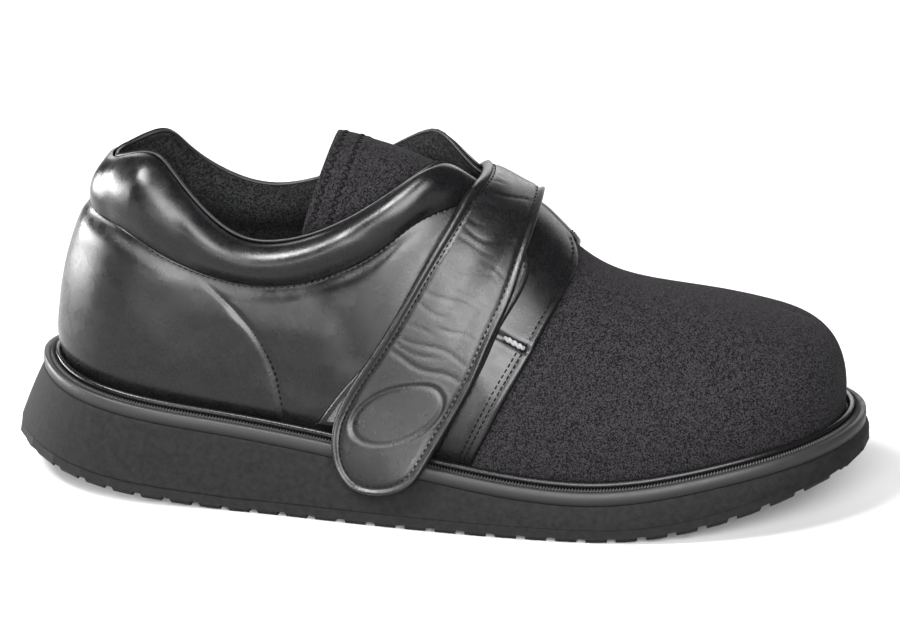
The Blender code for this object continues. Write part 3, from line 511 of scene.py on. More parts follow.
def last_points(shares, rows, medial):
    """Points of the last at shares of the way round and shares of each rib's length."""
    shares, rows = np.broadcast_arrays(np.asarray(shares, float), np.asarray(rows, float))
    shape = shares.shape
    shares, rows = shares.ravel(), rows.ravel()
    plan, outward = half_outline(shares, medial)
    foot = plan - outward * feather_inset()
    foot_height = welt_underside(foot[:, 0]) + WELT_THICKNESS + 2 * GAP
    top = rib_tops(shares, medial)
    behind = rib_tops(np.clip(shares - SHARE_STEP, 0, 1), medial)
    ahead = rib_tops(np.clip(shares + SHARE_STEP, 0, 1), medial)
    ridge_slope = (ahead[:, 2] - behind[:, 2]) / np.maximum(ahead[:, 0] - behind[:, 0], 1e-5)
    ridge_slope = ridge_slope * smooth_step(shares, RIDGE_START, THROAT_END)
    angle, square, belly, lean = (column(SECTIONS, k, shares) for k in (1, 2, 3, 4))
    turn = np.radians(np.clip(angle, 20, 90)) * np.linspace(0, 1, RIB_SAMPLES)[:, None]
    power = 2 / square
    across = (1 - np.cos(turn).clip(0) ** power) / (1 - np.cos(turn[-1]).clip(0) ** power)
    rise = np.sin(turn) ** power / np.sin(turn[-1]) ** power
    reach = top[:, :2] - foot
    inward = np.sum(reach * outward, axis=1)
    along = reach - outward * inward[:, None]
    swell = belly * BALL_WIDTH * np.sin(np.pi * rise**0.8)
    path = foot + outward * (across * inward + swell)[..., None] + along * (rise**lean)[..., None]
    ease = ridge_slope * outward[:, 0] * inward * (across - 1) * across**2
    height = foot_height + rise * (top[:, 2] - foot_height) + ease
    points = np.concatenate([path, height[..., None]], axis=-1)
    run = np.linalg.norm(np.diff(points, axis=0), axis=2)
    run = np.vstack([np.zeros(len(shares)), np.cumsum(run, axis=0)])
    at = np.clip(rows, 0, 1) * run[-1]
    low = np.clip((run <= at).sum(axis=0) - 1, 0, len(run) - 2)
    each = np.arange(len(shares))
    part = (at - run[low, each]) / (run[low + 1, each] - run[low, each])
    found = points[low, each] + (points[low + 1, each] - points[low, each]) * part[:, None]
    found[:, 2] += np.minimum(rows, 0) * COLLAR_HEIGHT
    return found.reshape(*shape, 3)


def last_normals(shares, rows, medial):
    """Outward normals of the last at the same places; below the feet they lie flat."""
    shares, rows = np.broadcast_arrays(np.asarray(shares, float), np.asarray(rows, float))
    near, far = np.clip(shares - SHARE_STEP, 0, 1), np.clip(shares + SHARE_STEP, 0, 1)
    held = np.clip(rows, 0, 1)
    low = np.clip(held - ROW_STEP / 2, 0, 1 - ROW_STEP)
    high = low + ROW_STEP
    around = last_points(far, held, medial) - last_points(near, held, medial)
    upward = last_points(shares, high, medial) - last_points(shares, low, medial)
    normals = np.cross(around, upward) * (-1 if medial else 1)
    below = rows < ROW_STEP
    normals[below, 2] = 0
    return normals / np.linalg.norm(normals, axis=-1, keepdims=True)


def collar_bulge(shares, rows):
    """Share of the collar padding: 0 at the seam and the rim, 1 between."""
    seam = column(COLLAR_SEAM, 1, shares)
    up = np.clip((rows - seam) / (1 - seam), 0, 1)
    amount = np.clip(column(COLLAR_PAD, 1, shares), 0, 1)
    return np.sin(np.pi * up**1.25) ** 0.9 * amount


def outer_offset(shares, rows):
    """How far the outer face of the quarters and the collar stands off the last."""
    seam = column(COLLAR_SEAM, 1, shares)
    at_collar = 1 - smooth_step(shares, RIM_END, PINCH_END)
    pinch = SEAM_PINCH * np.exp(-(((rows - seam) / PINCH_SPREAD) ** 2)) * at_collar
    tuck = smooth_step(rows, 0, LEATHER_TUCK)
    return LEATHER * tuck + COLLAR_PAD_OUT * collar_bulge(shares, rows) - pinch


def outer_points(shares, rows, medial, stand_off=0.0):
    """Points on, or standing off, the outer face of the quarters."""
    lift = outer_offset(shares, rows) + stand_off
    return last_points(shares, rows, medial) + last_normals(shares, rows, medial) * lift[..., None]


def find_shift():
    """The move from the construction frame to the frame of the solids, from the welt's box."""
    low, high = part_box("welt")
    middle = (PLAN[:, 1].min() + PLAN[:, 1].max()) / 2
    return np.array([low[0] - PLAN[:, 0].min(), (low[1] + high[1]) / 2 - middle, 0.0])


SHIFT = find_shift()


def add_mesh(name, points, faces, material):
    """A mesh piece from points in the construction frame, riding on the shoe's one body."""
    mesh = bpy.data.meshes.new(name)
    points = np.asarray(points, float) + SHIFT
    mesh.vertices.add(len(points))
    mesh.vertices.foreach_set("co", points.ravel())
    mesh.loops.add(faces.size)
    mesh.loops.foreach_set("vertex_index", faces.ravel())
    mesh.polygons.add(len(faces))
    mesh.polygons.foreach_set("loop_start", np.arange(0, faces.size, faces.shape[1]))
    mesh.update(calc_edges=True)
    mesh.validate()
    mesh.shade_smooth()
    mesh.materials.append(material)
    made = bpy.data.objects.new(name, mesh)
    bpy.context.scene.collection.objects.link(made)
    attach(made, "root")
    return made


def grid_faces(rows, columns, wrap_rows=False, wrap_columns=False, start=0):
    """Quads of a grid whose points run along its columns first."""
    r = np.arange(rows if wrap_rows else rows - 1)
    c = np.arange(columns if wrap_columns else columns - 1)
    r, c = np.meshgrid(r, c, indexing="ij")
    r2, c2 = (r + 1) % rows, (c + 1) % columns
    quads = np.stack([r * columns + c, r2 * columns + c, r2 * columns + c2, r * columns + c2], axis=-1)
    return quads.reshape(-1, 4) + start


def add_grid(name, grid, material, wrap_rows=False, wrap_columns=False, flip=False):
    """A piece from one grid of points."""
    faces = grid_faces(*grid.shape[:2], wrap_rows, wrap_columns)
    if flip:
        faces = faces[:, ::-1]
    return add_mesh(name, grid.reshape(-1, 3), faces, material)


def merge(made):
    """Joins points that lie on each other."""
    work = bmesh.new()
    work.from_mesh(made.data)
    bmesh.ops.remove_doubles(work, verts=work.verts, dist=MERGE_DISTANCE)
    bmesh.ops.dissolve_degenerate(work, edges=work.edges, dist=MERGE_DISTANCE / 4)
    work.to_mesh(made.data)
    work.free()


def relax(made, weight, rounds):
    """Evens out the points of a mesh, each by its own weight from 0 to 1."""
    mesh = made.data
    count = len(mesh.vertices)
    points = np.empty(count * 3)
    mesh.vertices.foreach_get("co", points)
    points = points.reshape(-1, 3)
    edges = np.empty(len(mesh.edges) * 2, int)
    mesh.edges.foreach_get("vertices", edges)
    edges = edges.reshape(-1, 2)
    degree = np.bincount(edges.ravel(), minlength=count).clip(1)
    amount = weight(points - SHIFT)[:, None]
    for _ in range(rounds):
        total = np.zeros_like(points)
        for a, b in ((0, 1), (1, 0)):
            for k in range(3):
                total[:, k] += np.bincount(edges[:, a], points[edges[:, b], k], count)
        points += (total / degree[:, None] - points) * amount
    mesh.vertices.foreach_set("co", points.ravel())
    mesh.update()


def distance_to(points, path):
    """Distance of each point to a line of points."""
    flat = points.reshape(-1, 3)
    best = np.full(len(flat), 1.0)
    for start, end in zip(path[:-1], path[1:]):
        span = end - start
        t = np.clip((flat - start) @ span / max(span @ span, 1e-12), 0, 1)
        best = np.minimum(best, np.linalg.norm(flat - start - t[:, None] * span, axis=1))
    return best.reshape(points.shape[:-1])


def surface_path(table, medial, count):
    """Points and normals on the quarters along a smooth line through shares and rows."""
    table = np.array(table)
    order = np.linspace(0, 1, len(table))
    at = np.linspace(0, 1, count)
    share, row = spline(order, table[:, 0], at), spline(order, table[:, 1], at)
    return outer_points(share, row, medial), last_normals(share, row, medial)


def fold_field(points, table, medial):
    """Height of the soft folds at each point."""
    height = np.zeros(points.shape[:-1])
    for share, row, end_share, end_row, width, lift in table:
        t = np.linspace(0, 1, 7)
        path = outer_points(share + (end_share - share) * t, row + (end_row - row) * t, medial)
        height += lift * np.exp(-((distance_to(points, path) / width) ** 2))
    return height


def trough(distance, width, depth):
    return -depth * np.exp(-((distance / width) ** 2))


def along_path(path, normals, start, step):
    """Places and normals a step apart along a line of points."""
    run = np.r_[0, np.cumsum(np.linalg.norm(np.diff(path, axis=0), axis=1))]
    at = np.arange(start, run[-1], step)
    points = np.stack([np.interp(at, run, path[:, k]) for k in range(3)], axis=-1)
    ups = np.stack([np.interp(at, run, normals[:, k]) for k in range(3)], axis=-1)
    return points, ups / np.linalg.norm(ups, axis=1, keepdims=True)


def stitch_meshes(path, normals):
    """Points and faces of one row of short thread stitches that dip into the leather at their ends."""
    starts, ups = along_path(path, normals, 0.0, STITCH_PITCH)
    ends, end_ups = along_path(path, normals, STITCH_LENGTH, STITCH_PITCH)
    count = min(len(starts), len(ends))
    return threads(starts[:count], ends[:count], ups[:count] + end_ups[:count], STITCH_LIFT, STITCH_RADIUS)


def threads(starts, ends, ups, lift, radius):
    """Thread stitches from start to end, each a round strand bowed along its up direction."""
    forward = ends - starts
    forward /= np.linalg.norm(forward, axis=1, keepdims=True).clip(1e-9)
    side = np.cross(forward, ups)
    side /= np.linalg.norm(side, axis=1, keepdims=True).clip(1e-9)
    up = np.cross(side, forward)
    turn = np.linspace(0, 2 * np.pi, STITCH_SIDES, endpoint=False)
    rings = []
    for t in STITCH_RINGS:
        bow = math.sin(math.pi * t)
        thick = radius * (STITCH_TIP + (1 - STITCH_TIP) * bow**0.5)
        centre = starts + (ends - starts) * t + up * (lift + radius * (STITCH_BOW * bow**0.7 - STITCH_DIP))
        ring_points = [centre + side * thick * math.cos(a) + up * thick * math.sin(a) for a in turn]
        rings.append(np.stack(ring_points, axis=1))
    grid = np.stack(rings, axis=1)
    count, levels, sides = grid.shape[:3]
    base = grid_faces(levels, sides, wrap_columns=True)
    faces = (base[None] + (np.arange(count) * levels * sides)[:, None, None]).reshape(-1, 4)
    return grid.reshape(-1, 3), faces


def add_threads(name, rows, material):
    """One piece from several rows of stitches."""
    points, faces, start = [], [], 0
    for row_points, row_faces in rows:
        points.append(row_points)
        faces.append(row_faces + start)
        start += len(row_points)
    return add_mesh(name, np.vstack(points), np.vstack(faces), material)


def add_tube(name, path, normals, radius, material):
    """A round cord laid along a line of points."""
    forward = np.gradient(path, axis=0)
    forward /= np.linalg.norm(forward, axis=1, keepdims=True)
    side = np.cross(forward, normals)
    side /= np.linalg.norm(side, axis=1, keepdims=True)
    up = np.cross(side, forward)
    turn = np.linspace(0, 2 * np.pi, TUBE_SIDES, endpoint=False)
    radius = np.broadcast_to(radius, (len(path), TUBE_SIDES))
    rings = [
        path + side * radius[:, i, None] * math.cos(a) + up * radius[:, i, None] * math.sin(a)
        for i, a in enumerate(turn)
    ]
    return add_grid(name, np.stack(rings, axis=1), material, wrap_columns=True, flip=True)


class Nodes:
    """A Principled material put together from short calls."""

    def __init__(self, name, colour, roughness, specular=0.5):
        self.material = bpy.data.materials.new(name)
        self.material.use_nodes = True
        self.tree = self.material.node_tree
        self.shader = self.tree.nodes["Principled BSDF"]
        self.set("Base Color", (*colour, 1.0))
        self.set("Roughness", roughness)
        self.set("Specular IOR Level", specular)
        self.coordinates = self.tree.nodes.new("ShaderNodeTexCoord").outputs["Object"]
        self.height = None

    def set(self, socket, value):
        self.shader.inputs[socket].default_value = value

    def texture(self, kind, size):
        node = self.tree.nodes.new(kind)
        node.inputs["Scale"].default_value = 1 / size
        self.tree.links.new(self.coordinates, node.inputs["Vector"])
        return node

    def noise(self, size, detail, rough=0.5):
        node = self.texture("ShaderNodeTexNoise", size)
        node.inputs["Detail"].default_value = detail
        node.inputs["Roughness"].default_value = rough
        return node.outputs["Fac"]

    def cells(self, size, output="Distance"):
        return self.texture("ShaderNodeTexVoronoi", size).outputs[output]

    def blend(self, socket, source, low, high):
        """Drives a socket from one colour to another between two heights of a texture."""
        node = self.tree.nodes.new("ShaderNodeValToRGB")
        for element, (place, value) in zip(node.color_ramp.elements, (low, high)):
            element.position = place
            element.color = (*value, 1.0)
        self.tree.links.new(source, node.inputs["Fac"])
        self.tree.links.new(node.outputs["Color"], self.shader.inputs[socket])

    def polish(self, source, smooth, dull):
        """Varies the roughness softly between two values."""
        self.blend("Roughness", source, (0.3, (smooth,) * 3), (0.7, (dull,) * 3))

    def bump(self, source, distance, strength):
        node = self.tree.nodes.new("ShaderNodeBump")
        node.inputs["Distance"].default_value = distance
        node.inputs["Strength"].default_value = strength
        self.tree.links.new(source, node.inputs["Height"])
        if self.height:
            self.tree.links.new(self.height, node.inputs["Normal"])
        self.height = node.outputs["Normal"]
        self.tree.links.new(self.height, self.shader.inputs["Normal"])


def leather(name, base, roughness, grain):
    """Smooth dyed leather: fine pores, painted highlight flecks on its grain and a soft, uneven polish."""
    made = Nodes(name, base, roughness, specular=0.21)
    # Lighter flecks at the grain's size: painted highlight glints of the grain.
    glint_tone = tuple(LEATHER_GLINT_LIFT * c for c in base)
    made.blend("Base Color", made.noise(size=0.0007, detail=3.0, rough=0.7), (0.40, base), (0.66, glint_tone))
    made.polish(made.noise(size=0.005, detail=4.0), smooth=roughness - 0.05, dull=roughness + 0.07)
    made.bump(made.noise(size=0.0007, detail=4.0, rough=0.75), distance=0.00007 * grain, strength=0.85)
    made.bump(made.noise(size=0.011, detail=2.0), distance=0.00008, strength=0.5)
    return made.material


def stretch_cloth(name, base, fleck, size, sheen):
    """Matte stretch fabric with a soft nap and light flecks."""
    made = Nodes(name, base, 0.95, specular=0.05)
    made.blend("Base Color", made.cells(size, "Color"), (0.28, base), (0.80, fleck))
    made.bump(made.noise(size, detail=4.0, rough=0.8), distance=0.00030, strength=0.9)
    made.bump(made.noise(size=0.012, detail=2.0), distance=0.0004, strength=0.3)
    made.set("Sheen Weight", sheen)
    made.set("Sheen Roughness", 0.5)
    made.set("Sheen Tint", (0.6, 0.58, 0.6, 1.0))
    return made.material


def foam(name, base, fleck, rough):
    """Closed-cell foam or rubber with a mottled, finely pitted face."""
    made = Nodes(name, base, rough, specular=0.11)
    made.blend("Base Color", made.noise(size=0.0022, detail=4.0, rough=0.7), (0.35, base), (0.72, fleck))
    made.bump(made.noise(size=0.0016, detail=4.0, rough=0.7), distance=0.00028, strength=0.8)
    made.bump(made.cells(size=0.0028), distance=0.00015, strength=0.4)
    return made.material


def plain_rubber(name, base, rough):
    """Moulded rubber with a fine even grain."""
    made = Nodes(name, base, rough, specular=0.15)
    made.polish(made.noise(size=0.004, detail=3.0), smooth=rough - 0.04, dull=rough + 0.06)
    made.bump(made.noise(size=0.0007, detail=3.0, rough=0.6), distance=0.00006, strength=0.7)
    return made.material


def thread(name, base, rough):
    """Twisted thread."""
    made = Nodes(name, base, rough, specular=0.05)
    made.bump(made.noise(size=0.0004, detail=2.0), distance=0.00008, strength=0.8)
    return made.material


def pile(name, base, fleck):
    """Rough hook-and-loop pile."""
    made = Nodes(name, base, 1.0)
    made.blend("Base Color", made.noise(size=0.0007, detail=3.0, rough=0.8), (0.42, base), (0.68, fleck))
    made.bump(made.noise(size=0.0006, detail=3.0, rough=0.8), distance=0.0009, strength=1.0)
    made.set("Sheen Weight", 0.3)
    return made.material


QUARTER_LEATHER = leather("quarter_leather", (0.0009, 0.0009, 0.0010), roughness=0.27, grain=1.0)
COLLAR_LEATHER = leather("collar_leather", (0.0009, 0.0009, 0.0010), roughness=0.27, grain=0.9)
STRAP_LEATHER = leather("strap_leather", (0.0012, 0.0011, 0.0012), roughness=0.28, grain=1.6)
PIPING_LEATHER = leather("piping_leather", (0.0015, 0.0015, 0.0016), roughness=0.45, grain=0.4)
VAMP_CLOTH = stretch_cloth("vamp_cloth", (0.001, 0.0009, 0.0011), (0.0135, 0.0124, 0.0135), 0.00038, 0.01)
TONGUE_CLOTH = stretch_cloth("tongue_cloth", (0.001, 0.0009, 0.001), (0.0130, 0.0120, 0.0130), 0.00038, 0.01)
LINING_CLOTH = stretch_cloth("lining_cloth", (0.001, 0.001, 0.0011), (0.0085, 0.0085, 0.0088), 0.0005, 0.01)
INSOLE_CLOTH = stretch_cloth("insole_cloth", (0.001, 0.001, 0.0011), (0.010, 0.010, 0.011), 0.0010, 0.05)
# Welt grey: partly the strip's own tone, partly a painted reflection of the light on its flat, tilted face.
WELT_RUBBER_AND_REFLECTION = plain_rubber("welt_rubber", (0.0085, 0.0085, 0.0089), 0.46)
BEAD_RUBBER = plain_rubber("bead_rubber", (0.002, 0.002, 0.0021), 0.26)
SOLE_FOAM = foam("sole_foam", (0.0010, 0.0010, 0.0011), (0.0042, 0.0042, 0.0044), 0.8)
TREAD_RUBBER = foam("tread_rubber", (0.0010, 0.0010, 0.0011), (0.0036, 0.0036, 0.0038), 0.75)
BLACK_THREAD = thread("black_thread", (0.001, 0.001, 0.001), 0.55)
PALE_THREAD = thread("pale_thread", (0.10, 0.10, 0.104), 0.4)
PATCH_PILE = pile("patch_pile", (0.001, 0.001, 0.001), (0.006, 0.006, 0.0062))


def quarter_top(share):
    """Row where the quarter's top edge lies: the collar's seam, then the throat's edge."""
    seam = column(COLLAR_SEAM, 1, share)
    return seam + (1 - seam) * smooth_step(share, *COLLAR_ENDS)


def counter_relief(share, rows, medial, middle):
    """The counter's seam as a pressed line, with the leather behind it standing a little proud."""
    seam, _ = surface_path(COUNTER_SEAM, medial, 40)
    near = distance_to(middle, seam)
    seam_share = column(np.array(COUNTER_SEAM)[::-1][:, ::-1], 1, np.clip(rows, 0, COUNTER_SEAM[0][1]))
    behind = smooth_step(seam_share - share, -0.004, 0.004) * (rows < COUNTER_SWELL_TOP)
    begun = smooth_step(np.linalg.norm(middle - seam[0], axis=-1), *COUNTER_BEGINS)
    swell = np.exp(-near / COUNTER_SWELL_REACH) * (1 - np.exp(-near / COUNTER_SWELL_START))
    return begun * (trough(near, COUNTER_WIDTH, COUNTER_DEPTH) + COUNTER_SWELL * behind * swell)


def quarter_side(medial):
    """Points of one quarter, with its front and top edges turned down."""
    edge_turn = np.linspace(0, 1, EDGE_STEPS + 1)[1:]
    back = np.linspace(0, FACING_FOOT, int(FACING_FOOT * HALF_ROUND / FINE))
    base = np.r_[back, np.full(EDGE_STEPS, FACING_FOOT)]
    front = np.r_[np.zeros(len(back)), edge_turn]
    up = np.r_[np.linspace(0, 1, QUARTER_ROWS), np.ones(EDGE_STEPS)]
    over = np.r_[np.zeros(QUARTER_ROWS), edge_turn]
    base, front = base[:, None], front[:, None]
    rows = np.minimum(up * quarter_top(base[:, 0])[:, None], 1.0)
    lean = column(FACING, 1, rows) - FACING_FOOT
    blend = np.clip((base - THROAT_END) / (FACING_FOOT - THROAT_END), 0, 1)
    share = base + blend * lean + np.sin(front * np.pi / 2) * LEATHER / HALF_ROUND
    past = np.sin(over * np.pi / 2) * TOP_TURN * (1 - smooth_step(base, RIM_BLEND_START, COLLAR_ENDS[1]))
    rows = np.clip(rows + past, 0, 1)
    down = np.cos(front * np.pi / 2) * np.cos(over * np.pi / 2)
    surface = last_points(share, rows, medial)
    normals = last_normals(share, rows, medial)
    flat = outer_offset(share, rows)
    middle = surface + normals * flat[..., None]
    lift = fold_field(middle, QUARTER_FOLDS, medial)
    lift += counter_relief(share, rows, medial, middle)
    lift += facing_relief(rows, medial, middle)
    offset = (flat + lift * smooth_step(rows, 0.0, FOLDS_START)) * down - EDGE_SINK * (1 - down)
    return surface + normals * offset[..., None]


def facing_inset(inset, medial, low, high):
    """Points and normals on the quarter a set distance behind the facing's front edge."""
    row = np.linspace(low, high, FACING_POINTS)
    share = column(FACING, 1, row) - inset / HALF_ROUND
    return outer_points(share, row, medial), last_normals(share, row, medial)


def facing_relief(rows, medial, middle):
    """The pressed stitch lines near the facing's edge, and the fold under its bar tack."""
    relief = np.zeros_like(rows)
    for inset, top in ((FACING_STITCH_INSET, 0.97), (FACING_SECOND_INSET, TACK_ROW)):
        line, _ = facing_inset(inset, medial, 0.0, top)
        relief += trough(distance_to(middle, line), 0.0006, 0.0003)
    tack = outer_points(np.linspace(*TACK_SHARES, 9), np.linspace(TACK_ROW + 0.012, TACK_ROW, 9), medial)
    near = distance_to(middle, tack)
    above = smooth_step(rows, TACK_ROW, TACK_ROW + 0.02)
    relief += trough(near, 0.0013, 0.0009)
    return relief + TACK_FOLD * above * np.exp(-near / 0.004) * (1 - np.exp(-near / 0.0012))


def both_sides(make):
    """One grid from the medial side's last column, round the heel, to the lateral side's last."""
    near, far = make(False), make(True)
    return np.concatenate([far[:0:-1], near])


def build_quarters():
    """The leather quarters as one skin round the heel, with their counter seams."""
    made = add_grid("quarters", both_sides(quarter_side), QUARTER_LEATHER)
    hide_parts("upper")


def collar_side(medial):
    """Points of one side of the padded collar, from its seam to the rim."""
    share = np.linspace(0, COLLAR_FRONT, int(COLLAR_FRONT * HALF_ROUND / FINE))[:, None]
    up = np.linspace(0, 1, COLLAR_ROWS)
    seam = column(COLLAR_SEAM, 1, share)
    rows = seam + (1 - seam) * up
    surface = last_points(share, rows, medial)
    normals = last_normals(share, rows, medial)
    flat = outer_offset(share, rows)
    middle = surface + normals * flat[..., None]
    lift = fold_field(middle, COLLAR_FOLDS, medial)
    pad = np.clip(column(COLLAR_PAD, 1, share), 0, 1)
    lift += COLLAR_SWELL * pad * np.sin(np.pi * up) ** 0.7
    lift += trough((1 - up) * COLLAR_BAND, 0.0012, 0.0006)
    tuck = 1 - rounded(up * COLLAR_BAND, 0.0016)
    offset = flat + lift - COLLAR_TUCK * tuck
    return surface + normals * offset[..., None]


def rim_line(medial, count):
    """Crest of the collar's rim on one side, with the directions out of the shoe."""
    share = np.linspace(0.0, COLLAR_FRONT, count)
    ones = np.ones_like(share)
    surface, normals = last_points(share, ones, medial), last_normals(share, ones, medial)
    crest = surface + normals * (LEATHER - WALL) / 2
    crest[:, 2] += RIM_ROUND * (1 - smooth_step(share, RIM_END, THROAT_END)) * PIPING_SEAT
    return crest, normals


def build_collar():
    """The padded collar's outer skin and the piping along its rim."""
    made = add_grid("collar", both_sides(collar_side), COLLAR_LEATHER)
    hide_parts("upper")
    near, near_up = rim_line(False, 200)
    far, far_up = rim_line(True, 200)
    path = np.concatenate([far[:0:-1], near])
    ups = np.concatenate([far_up[:0:-1], near_up])
    piping = add_tube("collar_piping", path - ups * PIPING_RADIUS, ups, PIPING_RADIUS, PIPING_LEATHER)


def lining_side(medial):
    """Points of one side of the lining, from the rim down to the footbed."""
    share = np.linspace(0, 1, int(HALF_ROUND / COARSE))[:, None]
    rows = np.linspace(1, 0, LINING_ROWS)
    thick = WALL + COLLAR_PAD_IN * collar_bulge(share, rows)
    seam = column(COLLAR_SEAM, 1, share) - 0.03
    at_collar = 1 - smooth_step(share, RIM_END, PINCH_END)
    thick = thick + trough(rows - seam, 0.012, 0.0009) * at_collar
    normals = last_normals(share, rows, medial)
    at_toe = (share > 0.90) & (rows > 0.80)
    normals[at_toe] = last_normals(share, rows, False)[at_toe]
    normals[share[:, 0] >= THROAT_END, 0, 1] = 0
    normals /= np.linalg.norm(normals, axis=-1, keepdims=True)
    return last_points(share, rows, medial) - normals * thick[..., None]


def collar_inside(medial):
    """The lining over the padding's inner side, from the rim down."""
    share = np.linspace(0, COLLAR_FRONT, int(COLLAR_FRONT * HALF_ROUND / COARSE))[:, None]
    down = np.linspace(0, 1, 24) ** 1.5
    rows = 1 - 0.30 * down * smooth_step(COLLAR_FRONT - share, -0.01, 0.08) - 0.04 * down
    pad = np.clip(column(COLLAR_PAD, 1, share), 0, 1)
    thick = WALL + COLLAR_PAD_IN * collar_bulge(share, rows) + 0.0003
    thick = thick + 0.0012 * np.sin(np.pi * down) * (0.3 + pad) - 0.0010 * down**8
    edge = rounded(down, 0.16)
    thick = CREST_DEPTH + (thick - CREST_DEPTH) * edge
    points = last_points(share, rows, medial) - last_normals(share, rows, medial) * thick[..., None]
    points[..., 2] += RIM_ROUND * (1 - edge) * (1 - smooth_step(share, RIM_END, THROAT_END))
    return points


def build_lining():
    """The cloth lining inside the whole upper, and over the inner side of the collar's padding."""
    for name, side in (("lining", lining_side), ("collar_inside", collar_inside)):
        made = add_grid(name, both_sides(side), LINING_CLOTH)


def vamp_side(medial):
    """Points of one side of the vamp, pressed in along the facing's edge."""
    share = np.linspace(VAMP_START, 1, int(VAMP_SHARE * HALF_ROUND / FINE))[:, None]
    rows = np.linspace(0, 1, VAMP_ROWS)
    ahead = smooth_step(share, FACING_FOOT, FACING_FOOT + 0.12)
    lean = (column(FACING, 1, rows) - FACING_FOOT) * (1 - ahead)
    at = share + lean * smooth_step(share, 0.47, 0.52)
    surface = last_points(at, rows, medial)
    normals = last_normals(at, rows, medial)
    normals[:, -1, 1] = 0
    normals /= np.linalg.norm(normals, axis=-1, keepdims=True)
    edge, _ = facing_inset(-0.0012, medial, 0.0, 1.0)
    press = trough(distance_to(surface, edge), 0.0022, 0.0005)
    return surface + normals * press[..., None]


def build_vamp():
    """The stretch vamp, one skin over the toe that runs under the facings, eased along its ridge."""
    near, far = vamp_side(False), vamp_side(True)
    made = add_grid("vamp", np.concatenate([near, far[:, -2::-1]], axis=1), VAMP_CLOTH)
    merge(made)
    ridge = last_points(np.linspace(0.49, 1, 80), np.ones(80), False)

    def weight(points):
        near_ridge = np.exp(-((distance_to(points, ridge) / RIDGE_EASE_REACH) ** 2))
        clear = smooth_step(points[:, 0], ridge[0, 0], ridge[0, 0] + 0.01)
        clear = clear * (1 - smooth_step(points[:, 0], ridge[-1, 0] - 0.012, ridge[-1, 0] - 0.003))
        return RIDGE_EASE * near_ridge * clear

    relax(made, weight, RIDGE_EASE_ROUNDS)
    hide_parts("upper")


def upper_threads():
    """Stitching of the quarters, facings and collar on both sides."""
    rows = []
    for medial in (False, True):
        table = [(s, float(column(COLLAR_SEAM, 1, np.array([s]))[0])) for s in np.linspace(0.0, 0.398, 14)]
        lines = (
            (surface_path(table, medial, 400), 0.0002),
            (surface_path(COUNTER_SEAM[1:], medial, 200), 0.0007),
            (facing_inset(FACING_STITCH_INSET, medial, 0.01, 0.975), 0.0001),
            (facing_inset(FACING_SECOND_INSET, medial, 0.01, TACK_ROW), 0.0001),
        )
        for (path, ups), sink in lines:
            rows.append(stitch_meshes(path - ups * sink, ups))
    made = add_threads("upper_stitches", rows, BLACK_THREAD)


def build_tacks():
    """The twisted bar tack across each facing."""
    first, last = TACK_CORD_SHARES
    share = np.linspace(first, last, TACK_RINGS)
    row = TACK_ROW + (last - share) * TACK_SLANT
    order = np.arange(TACK_RINGS)
    ends = rounded(np.minimum(order, order[::-1]) / 8.0, 1.0)
    turn = np.linspace(0, 2 * np.pi, TUBE_SIDES, endpoint=False)
    twist = np.cos(turn * 2 + np.linspace(0, TACK_TWIST, TACK_RINGS)[:, None])
    radius = TACK_RADIUS * (0.85 + 0.22 * twist) * ends[:, None]
    for side, medial in (("lateral", False), ("medial", True)):
        path, ups = outer_points(share, row, medial, TACK_LIFT), last_normals(share, row, medial)
        made = add_tube(f"bar_tack_{side}", path, ups, radius, PALE_THREAD)


def tongue_face(drop, stations, across):
    """The tongue's face, lowered by drop along its arches, as in the solid."""
    table = np.array(TONGUE)
    order = np.linspace(0, 1, len(table))
    crown, height, half, fall, back = (spline(order, table[:, k], stations) for k in range(5))
    turn = np.radians(across)
    grid = np.zeros((len(stations), len(turn), 3))
    grid[..., 0] = (crown[:, None] - back[:, None] * (1 - np.cos(turn))) * WELT_LENGTH
    grid[..., 1] = (half[:, None] * BALL_WIDTH - drop) * np.sin(turn)
    sink = (1 - np.cos(turn) ** 0.9) * fall[:, None] * COLLAR_HEIGHT
    grid[..., 2] = height[:, None] * COLLAR_HEIGHT - drop - sink
    return grid


def grid_normals(grid):
    """Unit normals of a grid of points."""
    normals = np.cross(np.gradient(grid, axis=0), np.gradient(grid, axis=1))
    return normals / np.linalg.norm(normals, axis=-1, keepdims=True).clip(1e-12)


def sheet_faces(rows, columns):
    """Faces of a closed sheet: the under grid's points first, then the over grid's."""
    size = rows * columns
    over = grid_faces(rows, columns, start=size)[:, ::-1]
    under = grid_faces(rows, columns)
    border = [(r, 0) for r in range(rows)]
    border += [(rows - 1, c) for c in range(1, columns)]
    border += [(r, columns - 1) for r in range(rows - 2, -1, -1)]
    border += [(0, c) for c in range(columns - 2, 0, -1)]
    index = np.array([r * columns + c for r, c in border])
    after = np.roll(index, -1)
    rim = np.stack([index, index + size, after + size, after], axis=-1)
    return np.vstack([over, under, rim])


def boundary_loop(grid):
    """Points round the edge of a grid."""
    return np.vstack([grid[:, 0], grid[-1, 1:], grid[-2::-1, -1], grid[0, -2:0:-1], grid[:1, 0]])


def rounded(distance, radius):
    """0 at an edge, rising as a quarter round to 1 at the radius."""
    return np.sqrt(1 - (1 - np.clip(distance / radius, 0, 1)) ** 2)


